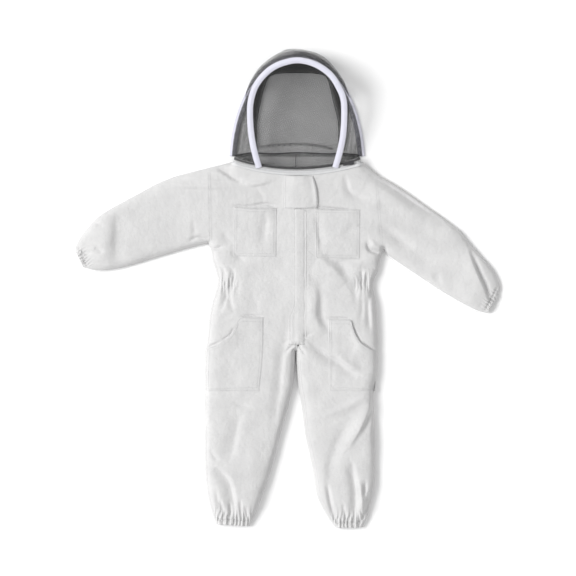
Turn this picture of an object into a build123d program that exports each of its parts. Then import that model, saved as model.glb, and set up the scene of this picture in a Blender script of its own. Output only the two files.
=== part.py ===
from build123d import *

import os
from math import asin, atan2, cos, degrees, pi, radians, sin

# Child's beekeeping coverall with a hooped veil hood, lying flat on its back.
# Millimetres. X runs across the suit, towards the wearer's left. Y runs from the legs to the
# hood. Z is up, away from the surface that the suit lies on. The origin is on that surface,
# under the middle of the waist.

# ---- Driving dimensions ----
CLOTH = 2.4                 # wall of the garment shell
LOFT = 34.0                 # height of the lying torso and legs
SLEEVE_LOFT = 30.0          # height of the lying sleeves
SKIN = 0.3                  # clearance between neighbouring pieces of cloth
HIP_Y = -182.0              # line across the crotch where the legs start to swing
LEG_SWING = 10.0            # degrees outwards
SLEEVE_SWING = 12.0         # degrees up and down

# Neckline: one arc across the front of the neck
NECK_X = 6.0
NECK_Y = 893.5
NECK_RADIUS = 585.0         # edge of the suit's cloth
NECK_COIL_RADIUS = 578.5    # centre of the zip that joins the hood
NECK_HOOD_RADIUS = 575.5    # edge of the hood's cloth
NECK_TAPE_NEAR = 5.0        # hood's zip tape, inwards from the middle of the coil
NECK_TAPE_FAR = 14.0
NECK_HALF_ANGLE = 17.5      # degrees each side of the middle
NECK_SLIDER_ANGLE = 15.0    # where the slider rests, towards the wearer's left

# Front zip and the flaps over it
ZIP_X = 10.0
ZIP_TOP = 302.0
ZIP_BOTTOM = -160.0
ZIP_GAP = 10.0              # space between the two fronts
TAPE_WIDTH = 17.0
TAPE_THICK = 1.2
COIL_WIDTH = 5.6
COIL_THICK = 2.0
SLIDER = (8.8, 13.0, 3.6)
PULL = (5.0, 24.0, 1.2)
FLAP_LIFT = 7.0             # underside of the flaps above the fronts
FLAP_THICK = 2.0
FACING_WIDTH = 3.0
STORM_HINGE_X = 26.8
STORM_WIDTH = 27.5
STORM_TOP = 205.0
STORM_BOTTOM = -150.0
THROAT_HINGE_X = -27.8
THROAT_WIDTH = 78.0
THROAT_TOP = 299.0
THROAT_BOTTOM = 211.0
PATCH_X = 40.0
PATCH_WIDTH = 16.0
PATCH_THICK = 2.0

# Pockets
POCKET_ROOM = 5.2           # free height inside a pocket
POCKET_CLOTH = 1.8
CHEST_POCKET_SIZE = (120.0, 137.0)
RIGHT_CHEST_POCKET = (-108.5, 146.0)
LEFT_CHEST_POCKET = (118.0, 140.5)
HIP_POCKET_TOP = -88.0
HIP_POCKET_BOTTOM = -291.0

# Elastics
ELASTIC_WIDTH = 24.0
ELASTIC_THICK = 1.4
ELASTIC_PLAY = 1.0

# Hood
CASING_WIDTH = 19.0
CASING_THICK = 6.0
WIRE_RADIUS = 1.6
CHANNEL_RADIUS = 2.1
VEIL = 1.2
HOOD_X = 6.0
REAR_CENTRE_Y = 330.0
REAR_HALF_WIDTH = 177.5     # to the middle of the tape
REAR_HEIGHT = 295.5
REAR_FOOT_Y = 354.0
FRONT_FOOT = (338.0, 42.0)  # y and z of the front hoop's feet
FRONT_TILT = 17.0
FRONT_HALF_WIDTH = 129.8
FRONT_WAIST = 144.5         # widest place, measured up the tilted hoop from its feet
FRONT_TOP_RADIUS = 142.6
FRONT_LOW_RADIUS = 272.0
CROWN_BULGE = 27.0

# Side seams of the torso, from the crotch line up to the armpit
RIGHT_SIDE = [(-245, -182), (-236, -96), (-214, -5), (-214, 28), (-226, 70), (-236.5, 115.5)]
LEFT_SIDE = [(227, -182), (228, -110), (215.5, -20), (217.5, 14), (232, 60), (244.5, 98)]
RIGHT_SHOULDER = (-239.0, 321.0)
LEFT_SHOULDER = (226.0, 305.0)
RIGHT_NECK_CORNER = (-160.0, 350.0)
LEFT_NECK_CORNER = (172.0, 350.0)

# Seams of the sleeves, from the armhole to the wrist
RIGHT_SLEEVE_TOP = [(-240, 321), (-322, 300), (-418, 256), (-503, 212), (-558, 168), (-605, 98)]
RIGHT_SLEEVE_UNDER = [(-239, 115.5), (-289, 103), (-368, 80), (-440, 58), (-520, 42), (-583, 43)]
LEFT_SLEEVE_TOP = [
    (227.5, 305), (269, 278), (335, 234), (399, 190), (457, 146), (518, 80), (558, 14), (564, -14)
]
LEFT_SLEEVE_UNDER = [(246.5, 98), (291, 58), (357, 14), (426, -30), (465, -52), (509, -74), (531, -77)]

# Seams of the legs, from the crotch line to the ankle
RIGHT_LEG_OUTER = [(-245, -183), (-248, -272), (-248, -404), (-244, -536), (-229, -624), (-218, -655)]
RIGHT_LEG_INNER = [
    (-1.5, -183), (-4, -272), (-25, -360), (-50, -448), (-75, -536), (-105, -624), (-126, -661)
]
LEFT_LEG_OUTER = [(227, -183), (222, -272), (217, -360), (219, -448), (219, -536), (203, -624), (178, -664)]
LEFT_LEG_INNER = [(1.5, -183), (8, -272), (22, -360), (36, -448), (53, -536), (85, -624), (112, -668)]

FRONT_TOP = LOFT            # outer face of the fronts
REACH = 40.0                # how far a cutter runs past what it cuts
FAR = 900.0                 # a cutter's half size where it takes everything on one side
LONG = 300.0                # longer than any opening of a sleeve or leg is wide
SWING_PLAY = 1.0            # degrees of room beyond the swing of a sleeve or leg

# Pivots of the sleeves and legs
RIGHT_SHOULDER_PIVOT = (-239.5, (RIGHT_SHOULDER[1] + RIGHT_SIDE[-1][1]) / 2)
LEFT_SHOULDER_PIVOT = (
    (LEFT_SHOULDER[0] + LEFT_SIDE[-1][0]) / 2 + 1.7,
    (LEFT_SHOULDER[1] + LEFT_SIDE[-1][1]) / 2,
)
RIGHT_HIP_PIVOT = (-123, HIP_Y - 1)
LEFT_HIP_PIVOT = (114, HIP_Y - 1)


def save(name, shape):
    export_step(shape, f"parts/{name}.step")


def block(x_range, y_range, z_range):
    """Plain box between two limits on each axis."""
    sizes = [high - low for low, high in (x_range, y_range, z_range)]
    middle = [(high + low) / 2 for low, high in (x_range, y_range, z_range)]
    return Pos(*middle) * Box(*sizes)


def seam(points):
    """Smooth seam line through its points."""
    return Line(*points) if len(points) == 2 else Spline(*points)


def between(seam_a, seam_b):
    """Flat face between two seams that run the same way."""
    start = Line(seam_a[0], seam_b[0])
    end = Line(seam_a[-1], seam_b[-1])
    return make_face([seam(seam_a), end, seam(seam_b), start])


def shifted(points, distance, overrun=0.0):
    """A seam moved to its left by a distance, and lengthened at both ends."""
    vectors = [Vector(*point) for point in points]
    last = len(vectors) - 1
    moved = []
    for index, point in enumerate(vectors):
        along = (vectors[min(index + 1, last)] - vectors[max(index - 1, 0)]).normalized()
        moved.append(point + Vector(-along.Y, along.X) * distance)
    moved[0] -= (vectors[1] - vectors[0]).normalized() * overrun
    moved[-1] += (vectors[-1] - vectors[-2]).normalized() * overrun
    return [(point.X, point.Y) for point in moved]


def raised(face, low, high):
    """Prism over a flat face between two heights."""
    return extrude(Pos(0, 0, low) * face, high - low)


def tube(left_seam, right_seam, height, wall=CLOTH, inset=0.0):
    """Flattened cloth tube, open at both ends. left_seam is on the left when going along it."""
    outer_face = between(shifted(left_seam, -inset), shifted(right_seam, inset))
    inner_face = between(
        shifted(left_seam, -inset - wall, REACH), shifted(right_seam, inset + wall, REACH)
    )
    outer = raised(outer_face, inset, height - inset)
    return outer - raised(inner_face, inset + wall, height - inset - wall)


def wedge(pivot, away, angle, height):
    """Triangular cutter that opens from a pivot, from just behind a direction to an angle on."""
    behind = 6.0 if angle > 0 else -6.0
    first = Vector(*away).normalized().rotate(Axis.Z, -behind) * LONG
    second = first.rotate(Axis.Z, angle + behind)
    tip = Vector(*pivot)
    return raised(make_face(Polyline(tip, tip + first, tip + second, close=True)), -1, height + 1)


def neck_disc(radius, low, high):
    """Everything on the hood's side of an arc round the neck."""
    return Pos(NECK_X, NECK_Y, (low + high) / 2) * Cylinder(radius, high - low)


def neck_strip(inner, outer, low, high, start=-NECK_HALF_ANGLE, end=NECK_HALF_ANGLE):
    """Strip along the neckline arc; angles run from the middle towards the wearer's left."""
    ring = neck_disc(outer, low, high) - neck_disc(inner, low, high)
    sector = [(0, 0)]
    for angle in (start, end):
        sector.append((2 * FAR * sin(radians(angle)), -2 * FAR * cos(radians(angle))))
    mask = Pos(NECK_X, NECK_Y, 0) * raised(make_face(Polyline(*sector, close=True)), low, high)
    return ring & mask


# ---- Torso ----
def torso_outline(inset, overrun):
    """Flat outline of the torso from the crotch line to above the neckline."""
    right = shifted(RIGHT_SIDE, -inset)
    left = shifted(LEFT_SIDE, inset)
    right[0] = (right[0][0], HIP_Y - overrun)
    left[0] = (left[0][0], HIP_Y - overrun)
    right_shoulder = (RIGHT_SHOULDER[0] + inset, RIGHT_SHOULDER[1] - inset)
    left_shoulder = (LEFT_SHOULDER[0] - inset, LEFT_SHOULDER[1] - inset)
    right_neck = (RIGHT_NECK_CORNER[0], RIGHT_NECK_CORNER[1] - inset)
    left_neck = (LEFT_NECK_CORNER[0], LEFT_NECK_CORNER[1] - inset)
    return make_face([
        Spline(*right),
        Polyline(right[-1], right_shoulder, right_neck, left_neck, left_shoulder, left[-1]),
        Spline(*left),
        Line(left[0], right[0]),
    ])


def torso_shell():
    """Both layers of the torso, open at the neck, armholes and legs."""
    shell = raised(torso_outline(0, 0), 0, LOFT)
    shell -= raised(torso_outline(CLOTH, REACH), CLOTH, LOFT - CLOTH)
    hollow = (CLOTH, LOFT - CLOTH)
    past_seam = 200.0
    right_armhole = (RIGHT_SIDE[-1][1] + CLOTH, RIGHT_SHOULDER[1] - CLOTH)
    left_armhole = (LEFT_SIDE[-1][1] + CLOTH, LEFT_SHOULDER[1] - CLOTH)
    shell -= block((-LONG, -past_seam), right_armhole, hollow)
    shell -= block((past_seam, LONG), left_armhole, hollow)
    return shell - neck_disc(NECK_RADIUS, -1, LOFT + 1)


def make_torso():
    shell = torso_shell()
    everywhere = (-FAR, FAR)
    lower = (-1, LOFT / 2)
    upper = (LOFT / 2, LOFT + 1)
    save("back_panel", shell & block(everywhere, everywhere, lower))
    save("front_right_panel", shell & block((-FAR, ZIP_X - ZIP_GAP / 2), everywhere, upper))
    save("front_left_panel", shell & block((ZIP_X + ZIP_GAP / 2, FAR), everywhere, upper))


def make_neck():
    binding_width = 7.0
    binding_thick = 2.6
    edge = NECK_RADIUS + 0.6
    front = neck_strip(edge, edge + binding_width, FRONT_TOP + SKIN, FRONT_TOP + SKIN + binding_thick)
    inside = CLOTH + SKIN
    back_half_angle = NECK_HALF_ANGLE - 2
    back = neck_strip(
        edge, edge + binding_width, inside, inside + binding_thick, -back_half_angle, back_half_angle
    )
    save("neck_binding", front + back)
    tape_top = LOFT - CLOTH - SKIN
    coil_half = COIL_WIDTH / 2 - 0.8
    lower = neck_strip(NECK_COIL_RADIUS + 0.3, NECK_RADIUS + 6, tape_top - TAPE_THICK, tape_top)
    save("neck_zip_lower_tape", lower)
    coil = neck_strip(
        NECK_COIL_RADIUS - coil_half,
        NECK_COIL_RADIUS + coil_half,
        tape_top + 0.1,
        tape_top + 0.1 + COIL_THICK,
        1 - NECK_HALF_ANGLE,
        NECK_HALF_ANGLE - 1,
    )
    save("neck_zip_coil", coil)
    upper = neck_strip(
        NECK_COIL_RADIUS - NECK_TAPE_FAR,
        NECK_COIL_RADIUS - NECK_TAPE_NEAR,
        tape_top - TAPE_THICK,
        tape_top,
    )
    save("neck_zip_upper_tape", upper)


def make_neck_slider():
    """Slider on top of the neck zip, with its pull lying towards the middle of the neck."""
    low = FRONT_TOP + 0.4
    width, length, height = SLIDER
    step = degrees(length / 2 / NECK_COIL_RADIUS)
    rest = NECK_SLIDER_ANGLE
    body = neck_strip(
        NECK_COIL_RADIUS - width / 2,
        NECK_COIL_RADIUS + width / 2,
        low,
        low + height,
        rest - step,
        rest + step,
    )
    save("neck_zip_slider", body)
    pull_low = low + height + SKIN
    pull_span = degrees(PULL[1] / NECK_COIL_RADIUS)
    pull = neck_strip(
        NECK_COIL_RADIUS - PULL[0] / 2,
        NECK_COIL_RADIUS + PULL[0] / 2,
        pull_low,
        pull_low + PULL[2],
        rest - pull_span,
        rest,
    )
    save("neck_zip_pull", pull)


# ---- Front zip and flaps ----
def make_front_zip():
    tape_top = LOFT - CLOTH - SKIN
    tape_z = (tape_top - TAPE_THICK, tape_top)
    length = (ZIP_BOTTOM, ZIP_TOP)
    save("main_zip_right_tape", block((ZIP_X - TAPE_WIDTH, ZIP_X - 0.3), length, tape_z))
    save("main_zip_left_tape", block((ZIP_X + 0.3, ZIP_X + TAPE_WIDTH), length, tape_z))
    coil_x = (ZIP_X - COIL_WIDTH / 2, ZIP_X + COIL_WIDTH / 2)
    coil_z = (tape_top + 0.1, tape_top + 0.1 + COIL_THICK)
    stop = 5.0
    coil_y = (ZIP_BOTTOM + stop + SKIN, ZIP_TOP - stop - SKIN)
    save("main_zip_coil", block(coil_x, coil_y, coil_z))
    bottom = block(coil_x, (ZIP_BOTTOM, ZIP_BOTTOM + stop), coil_z)
    top = block(coil_x, (ZIP_TOP - stop, ZIP_TOP), coil_z)
    save("main_zip_stops", bottom + top)

    width, length, height = SLIDER
    low = coil_z[1] + 0.2
    front = ZIP_TOP - stop - 2
    body = block((ZIP_X - width / 2, ZIP_X + width / 2), (front - length, front), (low, low + height))
    save("main_zip_slider", body)
    pull_x = (ZIP_X - PULL[0] / 2, ZIP_X + PULL[0] / 2)
    pull_top = front - 4
    pull_low = low + height
    save("main_zip_pull", block(pull_x, (pull_top - PULL[1], pull_top), (pull_low, pull_low + PULL[2])))


def make_flaps():
    flap_low = FRONT_TOP + FLAP_LIFT
    flap_z = (flap_low, flap_low + FLAP_THICK)
    facing_z = (FRONT_TOP + SKIN, flap_low - 0.8)
    storm_y = (STORM_BOTTOM, STORM_TOP)
    storm_facing = block((STORM_HINGE_X, STORM_HINGE_X + FACING_WIDTH), storm_y, facing_z)
    save("storm_flap_facing", storm_facing)
    save("storm_flap", block((STORM_HINGE_X - STORM_WIDTH, STORM_HINGE_X - SKIN), storm_y, flap_z))
    throat_y = (THROAT_BOTTOM, THROAT_TOP)
    throat_facing = block((THROAT_HINGE_X - FACING_WIDTH, THROAT_HINGE_X), throat_y, facing_z)
    save("throat_flap_facing", throat_facing)
    save("throat_flap", block((THROAT_HINGE_X + SKIN, THROAT_HINGE_X + THROAT_WIDTH), throat_y, flap_z))
    patch_x = (PATCH_X - PATCH_WIDTH / 2, PATCH_X + PATCH_WIDTH / 2)
    patch_y = (THROAT_BOTTOM + 8, THROAT_TOP - 12)
    save("throat_loop_patch", block(patch_x, patch_y, (FRONT_TOP + 0.1, FRONT_TOP + 0.1 + PATCH_THICK)))
    save("throat_hook_patch", block(patch_x, patch_y, (flap_low - PATCH_THICK, flap_low)))


# ---- Pockets ----
def pocket_tray(outer_face, inner_face):
    """Patch pocket: one layer of cloth with turned-down walls, open towards the suit."""
    low = FRONT_TOP + SKIN
    roof = low + POCKET_ROOM
    return raised(outer_face, low, roof + POCKET_CLOTH) - raised(inner_face, low - 1, roof)


def make_chest_pocket(name, centre):
    width, height = CHEST_POCKET_SIZE
    wall = POCKET_CLOTH
    outer_face = Pos(*centre) * Rectangle(width, height)
    inner_centre = Pos(centre[0], centre[1] + REACH / 2)
    inner_face = inner_centre * Rectangle(width - 2 * wall, height + REACH - 2 * wall)
    save(name, pocket_tray(outer_face, inner_face))


def hip_pocket_outline(inner_x, outer_x, mouth):
    """Corners of a hip pocket: a straight top, then a curved mouth down to the side seam."""
    top_outer, bend, mouth_end = mouth
    return make_face([
        Polyline((inner_x, HIP_POCKET_BOTTOM), (inner_x, HIP_POCKET_TOP), top_outer),
        ThreePointArc(top_outer, bend, mouth_end),
        Polyline(mouth_end, (outer_x, HIP_POCKET_BOTTOM), (inner_x, HIP_POCKET_BOTTOM)),
    ])


def make_hip_pocket(name, side, inner_x, outer_x, mouth):
    """side is -1 on the wearer's right and 1 on the left."""
    wall = POCKET_CLOTH
    low = FRONT_TOP + SKIN
    roof = low + POCKET_ROOM
    solid = raised(hip_pocket_outline(inner_x, outer_x, mouth), low, roof + POCKET_CLOTH)
    under_roof = (low - 1, roof)
    room_x = sorted((inner_x + side * wall, outer_x - side * wall))
    room = block(room_x, (HIP_POCKET_BOTTOM + wall, 0), under_roof)
    top_x = sorted((inner_x, mouth[0][0]))
    top_wall = block(top_x, (HIP_POCKET_TOP - wall, HIP_POCKET_TOP + 1), under_roof)
    save(name, solid - (room - top_wall))


def make_pockets():
    make_chest_pocket("right_chest_pocket", RIGHT_CHEST_POCKET)
    make_chest_pocket("left_chest_pocket", LEFT_CHEST_POCKET)
    right_mouth = ((-150, HIP_POCKET_TOP), (-176, -137), (-243, -175))
    left_mouth = ((150, HIP_POCKET_TOP), (167, -144), (222, -182))
    make_hip_pocket("right_hip_pocket", -1, -86, -243, right_mouth)
    make_hip_pocket("left_hip_pocket", 1, 93, 222, left_mouth)


# ---- Elastics in the waist ----
def make_waist_elastics():
    top = LOFT - CLOTH - SKIN
    band = (top - ELASTIC_THICK, top)
    y_range = (-ELASTIC_WIDTH / 2, ELASTIC_WIDTH / 2)
    length = 58.0
    right_end = -206.0
    left_end = 208.0
    save("right_waist_elastic", block((right_end, right_end + length), y_range, band))
    save("left_waist_elastic", block((left_end - length, left_end), y_range, band))


# ---- Sleeves and legs ----
def limb_elastic(left_seam, right_seam, height):
    """Gathered elastic ring just inside the open end of a sleeve or leg."""
    ring = tube(left_seam, right_seam, height, ELASTIC_THICK, CLOTH + ELASTIC_PLAY)
    end = (Vector(*left_seam[-1]) + Vector(*right_seam[-1])) * 0.5
    back = (Vector(*left_seam[-2]) + Vector(*right_seam[-2])) * 0.5
    along = (end - back).normalized()
    turn = degrees(atan2(along.Y, along.X))
    from_hem = 8.0
    centre = end - along * (ELASTIC_WIDTH / 2 + from_hem)
    slab = Pos(centre.X, centre.Y, height / 2) * Rot(0, 0, turn) * Box(ELASTIC_WIDTH, LONG, height + 2)
    return ring & slab


def make_sleeves():
    swing = SLEEVE_SWING + SWING_PLAY
    right = tube(RIGHT_SLEEVE_UNDER, RIGHT_SLEEVE_TOP, SLEEVE_LOFT)
    right -= wedge(RIGHT_SHOULDER_PIVOT, (0, 1), swing, SLEEVE_LOFT)
    right -= wedge(RIGHT_SHOULDER_PIVOT, (0, -1), -swing, SLEEVE_LOFT)
    save("right_sleeve", right)
    save("right_cuff_elastic", limb_elastic(RIGHT_SLEEVE_UNDER, RIGHT_SLEEVE_TOP, SLEEVE_LOFT))
    left = tube(LEFT_SLEEVE_TOP, LEFT_SLEEVE_UNDER, SLEEVE_LOFT)
    along = Vector(*LEFT_SHOULDER) - Vector(*LEFT_SIDE[-1])
    left -= wedge(LEFT_SHOULDER_PIVOT, along, -swing, SLEEVE_LOFT)
    left -= wedge(LEFT_SHOULDER_PIVOT, -along, swing, SLEEVE_LOFT)
    save("left_sleeve", left)
    save("left_cuff_elastic", limb_elastic(LEFT_SLEEVE_TOP, LEFT_SLEEVE_UNDER, SLEEVE_LOFT))


def make_legs():
    swing = LEG_SWING + SWING_PLAY
    right = tube(RIGHT_LEG_INNER, RIGHT_LEG_OUTER, LOFT)
    right -= wedge(RIGHT_HIP_PIVOT, (-1, 0), swing, LOFT)
    save("right_leg", right)
    save("right_ankle_elastic", limb_elastic(RIGHT_LEG_INNER, RIGHT_LEG_OUTER, LOFT))
    left = tube(LEFT_LEG_OUTER, LEFT_LEG_INNER, LOFT)
    left -= wedge(LEFT_HIP_PIVOT, (1, 0), -swing, LOFT)
    save("left_leg", left)
    save("left_ankle_elastic", limb_elastic(LEFT_LEG_OUTER, LEFT_LEG_INNER, LOFT))


# ---- Hood ----
def rear_arch(reach):
    """Outline of the rear hoop moved outwards by a reach, closed across its feet."""
    half_width = REAR_HALF_WIDTH + reach
    height = REAR_HEIGHT + reach
    start = degrees(asin((REAR_FOOT_Y - REAR_CENTRE_Y) / height))
    arc = EllipticalCenterArc((HOOD_X, REAR_CENTRE_Y), half_width, height, start, arc_size=180 - 2 * start)
    return make_face([arc, Line(arc @ 1, arc @ 0)])


def front_path(reach):
    """Front hoop in its own plane, from the left foot over the top to the right foot."""
    width = FRONT_HALF_WIDTH + reach
    top = EllipticalCenterArc((0, FRONT_WAIST), width, FRONT_TOP_RADIUS + reach, 0, arc_size=180)
    drop = FRONT_LOW_RADIUS + reach
    low_angle = degrees(asin(FRONT_WAIST / drop))
    left = EllipticalCenterArc((0, FRONT_WAIST), width, drop, -low_angle, arc_size=low_angle)
    right = EllipticalCenterArc((0, FRONT_WAIST), width, drop, 180, arc_size=low_angle)
    return [left, top, right]


def front_arch(reach):
    """Area inside the front hoop moved outwards by a reach, closed across its feet."""
    left, top, right = front_path(reach)
    return make_face([left, top, right, Line(right @ 1, left @ 0)])


def on_front_hoop(shape):
    """From the front hoop's own plane to its tilted place over the face."""
    return Pos(HOOD_X, FRONT_FOOT[0], FRONT_FOOT[1]) * Rot(FRONT_TILT, 0, 0) * shape


def make_rear_hoop():
    half = CASING_WIDTH / 2
    channel_low = CASING_THICK / 2 - CHANNEL_RADIUS
    channel = rear_arch(CHANNEL_RADIUS) - rear_arch(-CHANNEL_RADIUS)
    casing = raised(rear_arch(half) - rear_arch(-half), 0, CASING_THICK)
    casing -= raised(channel, channel_low, channel_low + 2 * CHANNEL_RADIUS)
    save("rear_hoop_casing", casing)
    start = degrees(asin((REAR_FOOT_Y + 2 - REAR_CENTRE_Y) / REAR_HEIGHT))
    path = EllipticalCenterArc(
        (HOOD_X, REAR_CENTRE_Y), REAR_HALF_WIDTH, REAR_HEIGHT, start, arc_size=180 - 2 * start
    )
    section = Plane(origin=path @ 0, z_dir=path % 0) * Circle(WIRE_RADIUS)
    save("rear_hoop_wire", Pos(0, 0, CASING_THICK / 2) * sweep(section, path))


def make_front_hoop():
    half = CASING_WIDTH / 2
    thick = CASING_THICK / 2
    casing = raised(front_arch(half) - front_arch(-half), -thick, thick)
    channel = front_arch(CHANNEL_RADIUS) - front_arch(-CHANNEL_RADIUS)
    casing -= raised(channel, -CHANNEL_RADIUS, CHANNEL_RADIUS)
    save("front_hoop_casing", on_front_hoop(casing))
    path = Wire(front_path(0))
    section = Plane(origin=path @ 0, z_dir=path % 0) * Circle(WIRE_RADIUS)
    save("front_hoop_wire", on_front_hoop(sweep(section, path)))
    veil = raised(front_arch(-half - SKIN), -VEIL / 2, VEIL / 2)
    save("face_veil", on_front_hoop(veil))


def make_back_of_hood():
    seam_y = 366.0
    layer = (SKIN, SKIN + VEIL)
    sheet = raised(rear_arch(-CASING_WIDTH / 2 - SKIN), *layer)
    save("back_veil", sheet & block((-FAR, FAR), (seam_y, FAR), layer))
    half_width = 158.0
    below_neckline = 310.0
    gusset_x = (HOOD_X - half_width, HOOD_X + half_width)
    gusset = block(gusset_x, (below_neckline, seam_y - SKIN), layer)
    save("nape_gusset", gusset & neck_disc(NECK_HOOD_RADIUS, *layer))


def front_point(angle):
    """Point just outside the front hoop's tape at an angle from its widest place."""
    reach = CASING_WIDTH / 2 + 2
    rise = FRONT_TOP_RADIUS if 0 <= angle <= 180 else FRONT_LOW_RADIUS
    across = (FRONT_HALF_WIDTH + reach) * cos(radians(angle))
    up = FRONT_WAIST + (rise + reach) * sin(radians(angle))
    tilt = radians(FRONT_TILT)
    return Vector(HOOD_X + across, FRONT_FOOT[0] + up * cos(tilt), FRONT_FOOT[1] + up * sin(tilt))


def rear_point(angle):
    """Point just above the rear hoop's tape."""
    across = REAR_HALF_WIDTH * cos(radians(angle))
    up = REAR_HEIGHT * sin(radians(angle))
    return Vector(HOOD_X + across, REAR_CENTRE_Y + up, CASING_THICK + 2)


def loose_veil(front_angles, rear_angles, bulge):
    """Sheet of mesh between the two hoops, over a stretch of each."""
    stations = 13
    steps = 7
    rows = []
    for index in range(stations):
        share = index / (stations - 1)
        front_angle = front_angles[0] + (front_angles[1] - front_angles[0]) * share
        rear_angle = rear_angles[0] + (rear_angles[1] - rear_angles[0]) * share
        front = front_point(front_angle)
        rear = rear_point(rear_angle)
        outwards = Vector(cos(radians(rear_angle)), sin(radians(rear_angle)), 0.25)
        row = []
        for step in range(steps):
            depth = step / (steps - 1)
            swell = bulge * sin(pi * depth) * sin(pi * share) ** 0.5
            row.append(front * (1 - depth) + rear * depth + outwards * swell)
        rows.append(row)
    sheet = Face.make_surface_from_array_of_points(rows, tol=0.3)
    return thicken(sheet, VEIL / 2, both=True)


def make_loose_veils():
    low_front = -29.0
    low_rear = 7.0
    split_front = 34.0
    split_rear = 36.0
    gap = 0.6
    left = loose_veil((low_front, split_front), (low_rear, split_rear), 0)
    save("left_side_veil", left)
    right = loose_veil((180 - low_front, 180 - split_front), (180 - low_rear, 180 - split_rear), 0)
    save("right_side_veil", right)
    crown_front = (split_front + gap, 180 - split_front - gap)
    crown_rear = (split_rear + gap, 180 - split_rear - gap)
    crown = loose_veil(crown_front, crown_rear, CROWN_BULGE)
    save("crown_veil", crown)


make_torso()
make_neck()
make_neck_slider()
make_front_zip()
make_flaps()
make_pockets()
make_waist_elastics()
make_sleeves()
make_legs()
make_rear_hoop()
make_front_hoop()
make_back_of_hood()
make_loose_veils()
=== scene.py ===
import math

import bpy
import numpy as np
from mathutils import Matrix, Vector


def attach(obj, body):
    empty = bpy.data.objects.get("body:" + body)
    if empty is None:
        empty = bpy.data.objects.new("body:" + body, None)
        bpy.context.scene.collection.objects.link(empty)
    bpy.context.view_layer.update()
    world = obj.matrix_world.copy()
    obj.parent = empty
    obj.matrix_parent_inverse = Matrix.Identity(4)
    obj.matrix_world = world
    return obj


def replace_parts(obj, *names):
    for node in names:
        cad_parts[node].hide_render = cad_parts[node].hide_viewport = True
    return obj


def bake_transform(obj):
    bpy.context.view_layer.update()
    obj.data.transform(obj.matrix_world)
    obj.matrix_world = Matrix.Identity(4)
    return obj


# Looks of a child's beekeeping coverall laid flat on its back, seen from straight above.
# Lists of places are in millimetres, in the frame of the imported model; mm() turns them to metres.

MM = 0.001
RIGHT, LEFT = "right", "left"

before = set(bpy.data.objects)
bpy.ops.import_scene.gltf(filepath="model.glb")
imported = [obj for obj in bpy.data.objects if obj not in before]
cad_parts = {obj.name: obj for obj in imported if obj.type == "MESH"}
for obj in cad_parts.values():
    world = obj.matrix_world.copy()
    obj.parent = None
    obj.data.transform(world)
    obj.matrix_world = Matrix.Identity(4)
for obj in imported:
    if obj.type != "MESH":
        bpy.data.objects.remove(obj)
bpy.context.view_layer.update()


def mm(points):
    """Millimetres to metres."""
    return np.array(points, float) * MM


# ---------------------------------------------------------------- numbers of the lying suit
EDGE_HEIGHT = 7.5 * MM       # side seams above the floor
BODY_HEIGHT = 33.5 * MM      # middle of the torso and legs
SLEEVE_HEIGHT = 26.0 * MM
FLOOR_GAP = 0.7 * MM
PUFF_LENGTH = 0.010          # how far in from a seam the cloth has risen
NECK_CENTRE = mm((6.0, 893.5))
NECK_RADIUS = 585.0 * MM
NECK_HALF_ANGLE = 18.1       # degrees from the middle of the neckline to its corners
NECK_FLAT_ANGLE = 15.6       # the neck zip runs level this far
ZIP_X = 10.0 * MM
ZIP_EDGES = {RIGHT: 4.6 * MM, LEFT: 15.4 * MM}
CROTCH = (2.0, -182.0)

# Seams from the crotch line up to the armpits
SIDE = {
    RIGHT: [(-247.5, -182), (-240, -138), (-236, -96), (-228, -52), (-216, -10), (-213, 16),
            (-218, 42), (-227, 66), (-229, 88), (-236.5, 115.5)],
    LEFT: [(228, -182), (228, -140), (226, -96), (223, -52), (215, -10), (217, 14), (228, 38),
           (232, 60), (237, 80), (244.5, 98)],
}
SHOULDER = {RIGHT: (-241, 321), LEFT: (227, 303)}
NECK_CORNER = {RIGHT: (-175.8, 337.4), LEFT: (187.8, 337.4)}

# Seams of the sleeves, from the armhole to the wrist
SLEEVE_TOP = {
    RIGHT: [(-241, 321), (-322, 300), (-377, 279), (-418, 257), (-459, 235), (-503, 211),
            (-536, 190), (-560, 167), (-579, 145), (-594, 122), (-602, 104), (-601, 92)],
    LEFT: [(227, 303), (269, 279), (305, 256), (336, 234), (367, 212), (399, 190), (429, 168),
           (456, 146), (473, 124), (492, 102), (511, 80), (531, 58), (547, 36), (558, 14),
           (563, -8), (558, -26)],
}
SLEEVE_UNDER = {
    RIGHT: [(-236.5, 115.5), (-289, 103), (-330, 91), (-368, 80), (-405, 69), (-440, 58),
            (-481, 47), (-520, 41), (-553, 42), (-581, 49)],
    LEFT: [(244.5, 98), (261, 80), (291, 58), (324, 36), (357, 14), (390, -8), (426, -30),
           (465, -52), (500, -69), (529, -77)],
}
# Seams of the legs, from the crotch line to the ankle
LEG_OUTER = {
    RIGHT: [(-247.5, -182), (-248, -260), (-248, -360), (-248, -460), (-245, -536), (-239, -580),
            (-229, -622), (-221, -646), (-217, -657)],
    LEFT: [(228, -182), (226, -240), (219, -275), (215, -316), (218, -360), (220, -420),
           (220, -500), (219, -545), (212, -582), (204, -618), (197, -644), (186, -665)],
}
LEG_INNER = {
    RIGHT: [CROTCH, (-2, -240), (-5, -280), (-14, -316), (-25, -360), (-38, -404), (-49, -448),
            (-61, -492), (-74, -536), (-90, -580), (-104, -620), (-116, -647), (-124, -662)],
    LEFT: [CROTCH, (6, -240), (10, -280), (16.5, -316), (22, -360), (27, -404), (36, -448),
           (46, -492), (53, -536), (61, -580), (76, -614), (96, -647), (112, -667)],
}
SIDES = (RIGHT, LEFT)
OUTWARD = {RIGHT: -1, LEFT: 1}        # which way +X points from the middle of the suit
LIMB_SEAMS = {"sleeve": (SLEEVE_TOP, SLEEVE_UNDER), "leg": (LEG_OUTER, LEG_INNER)}
FAR = 1e9                    # further than anything here


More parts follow.
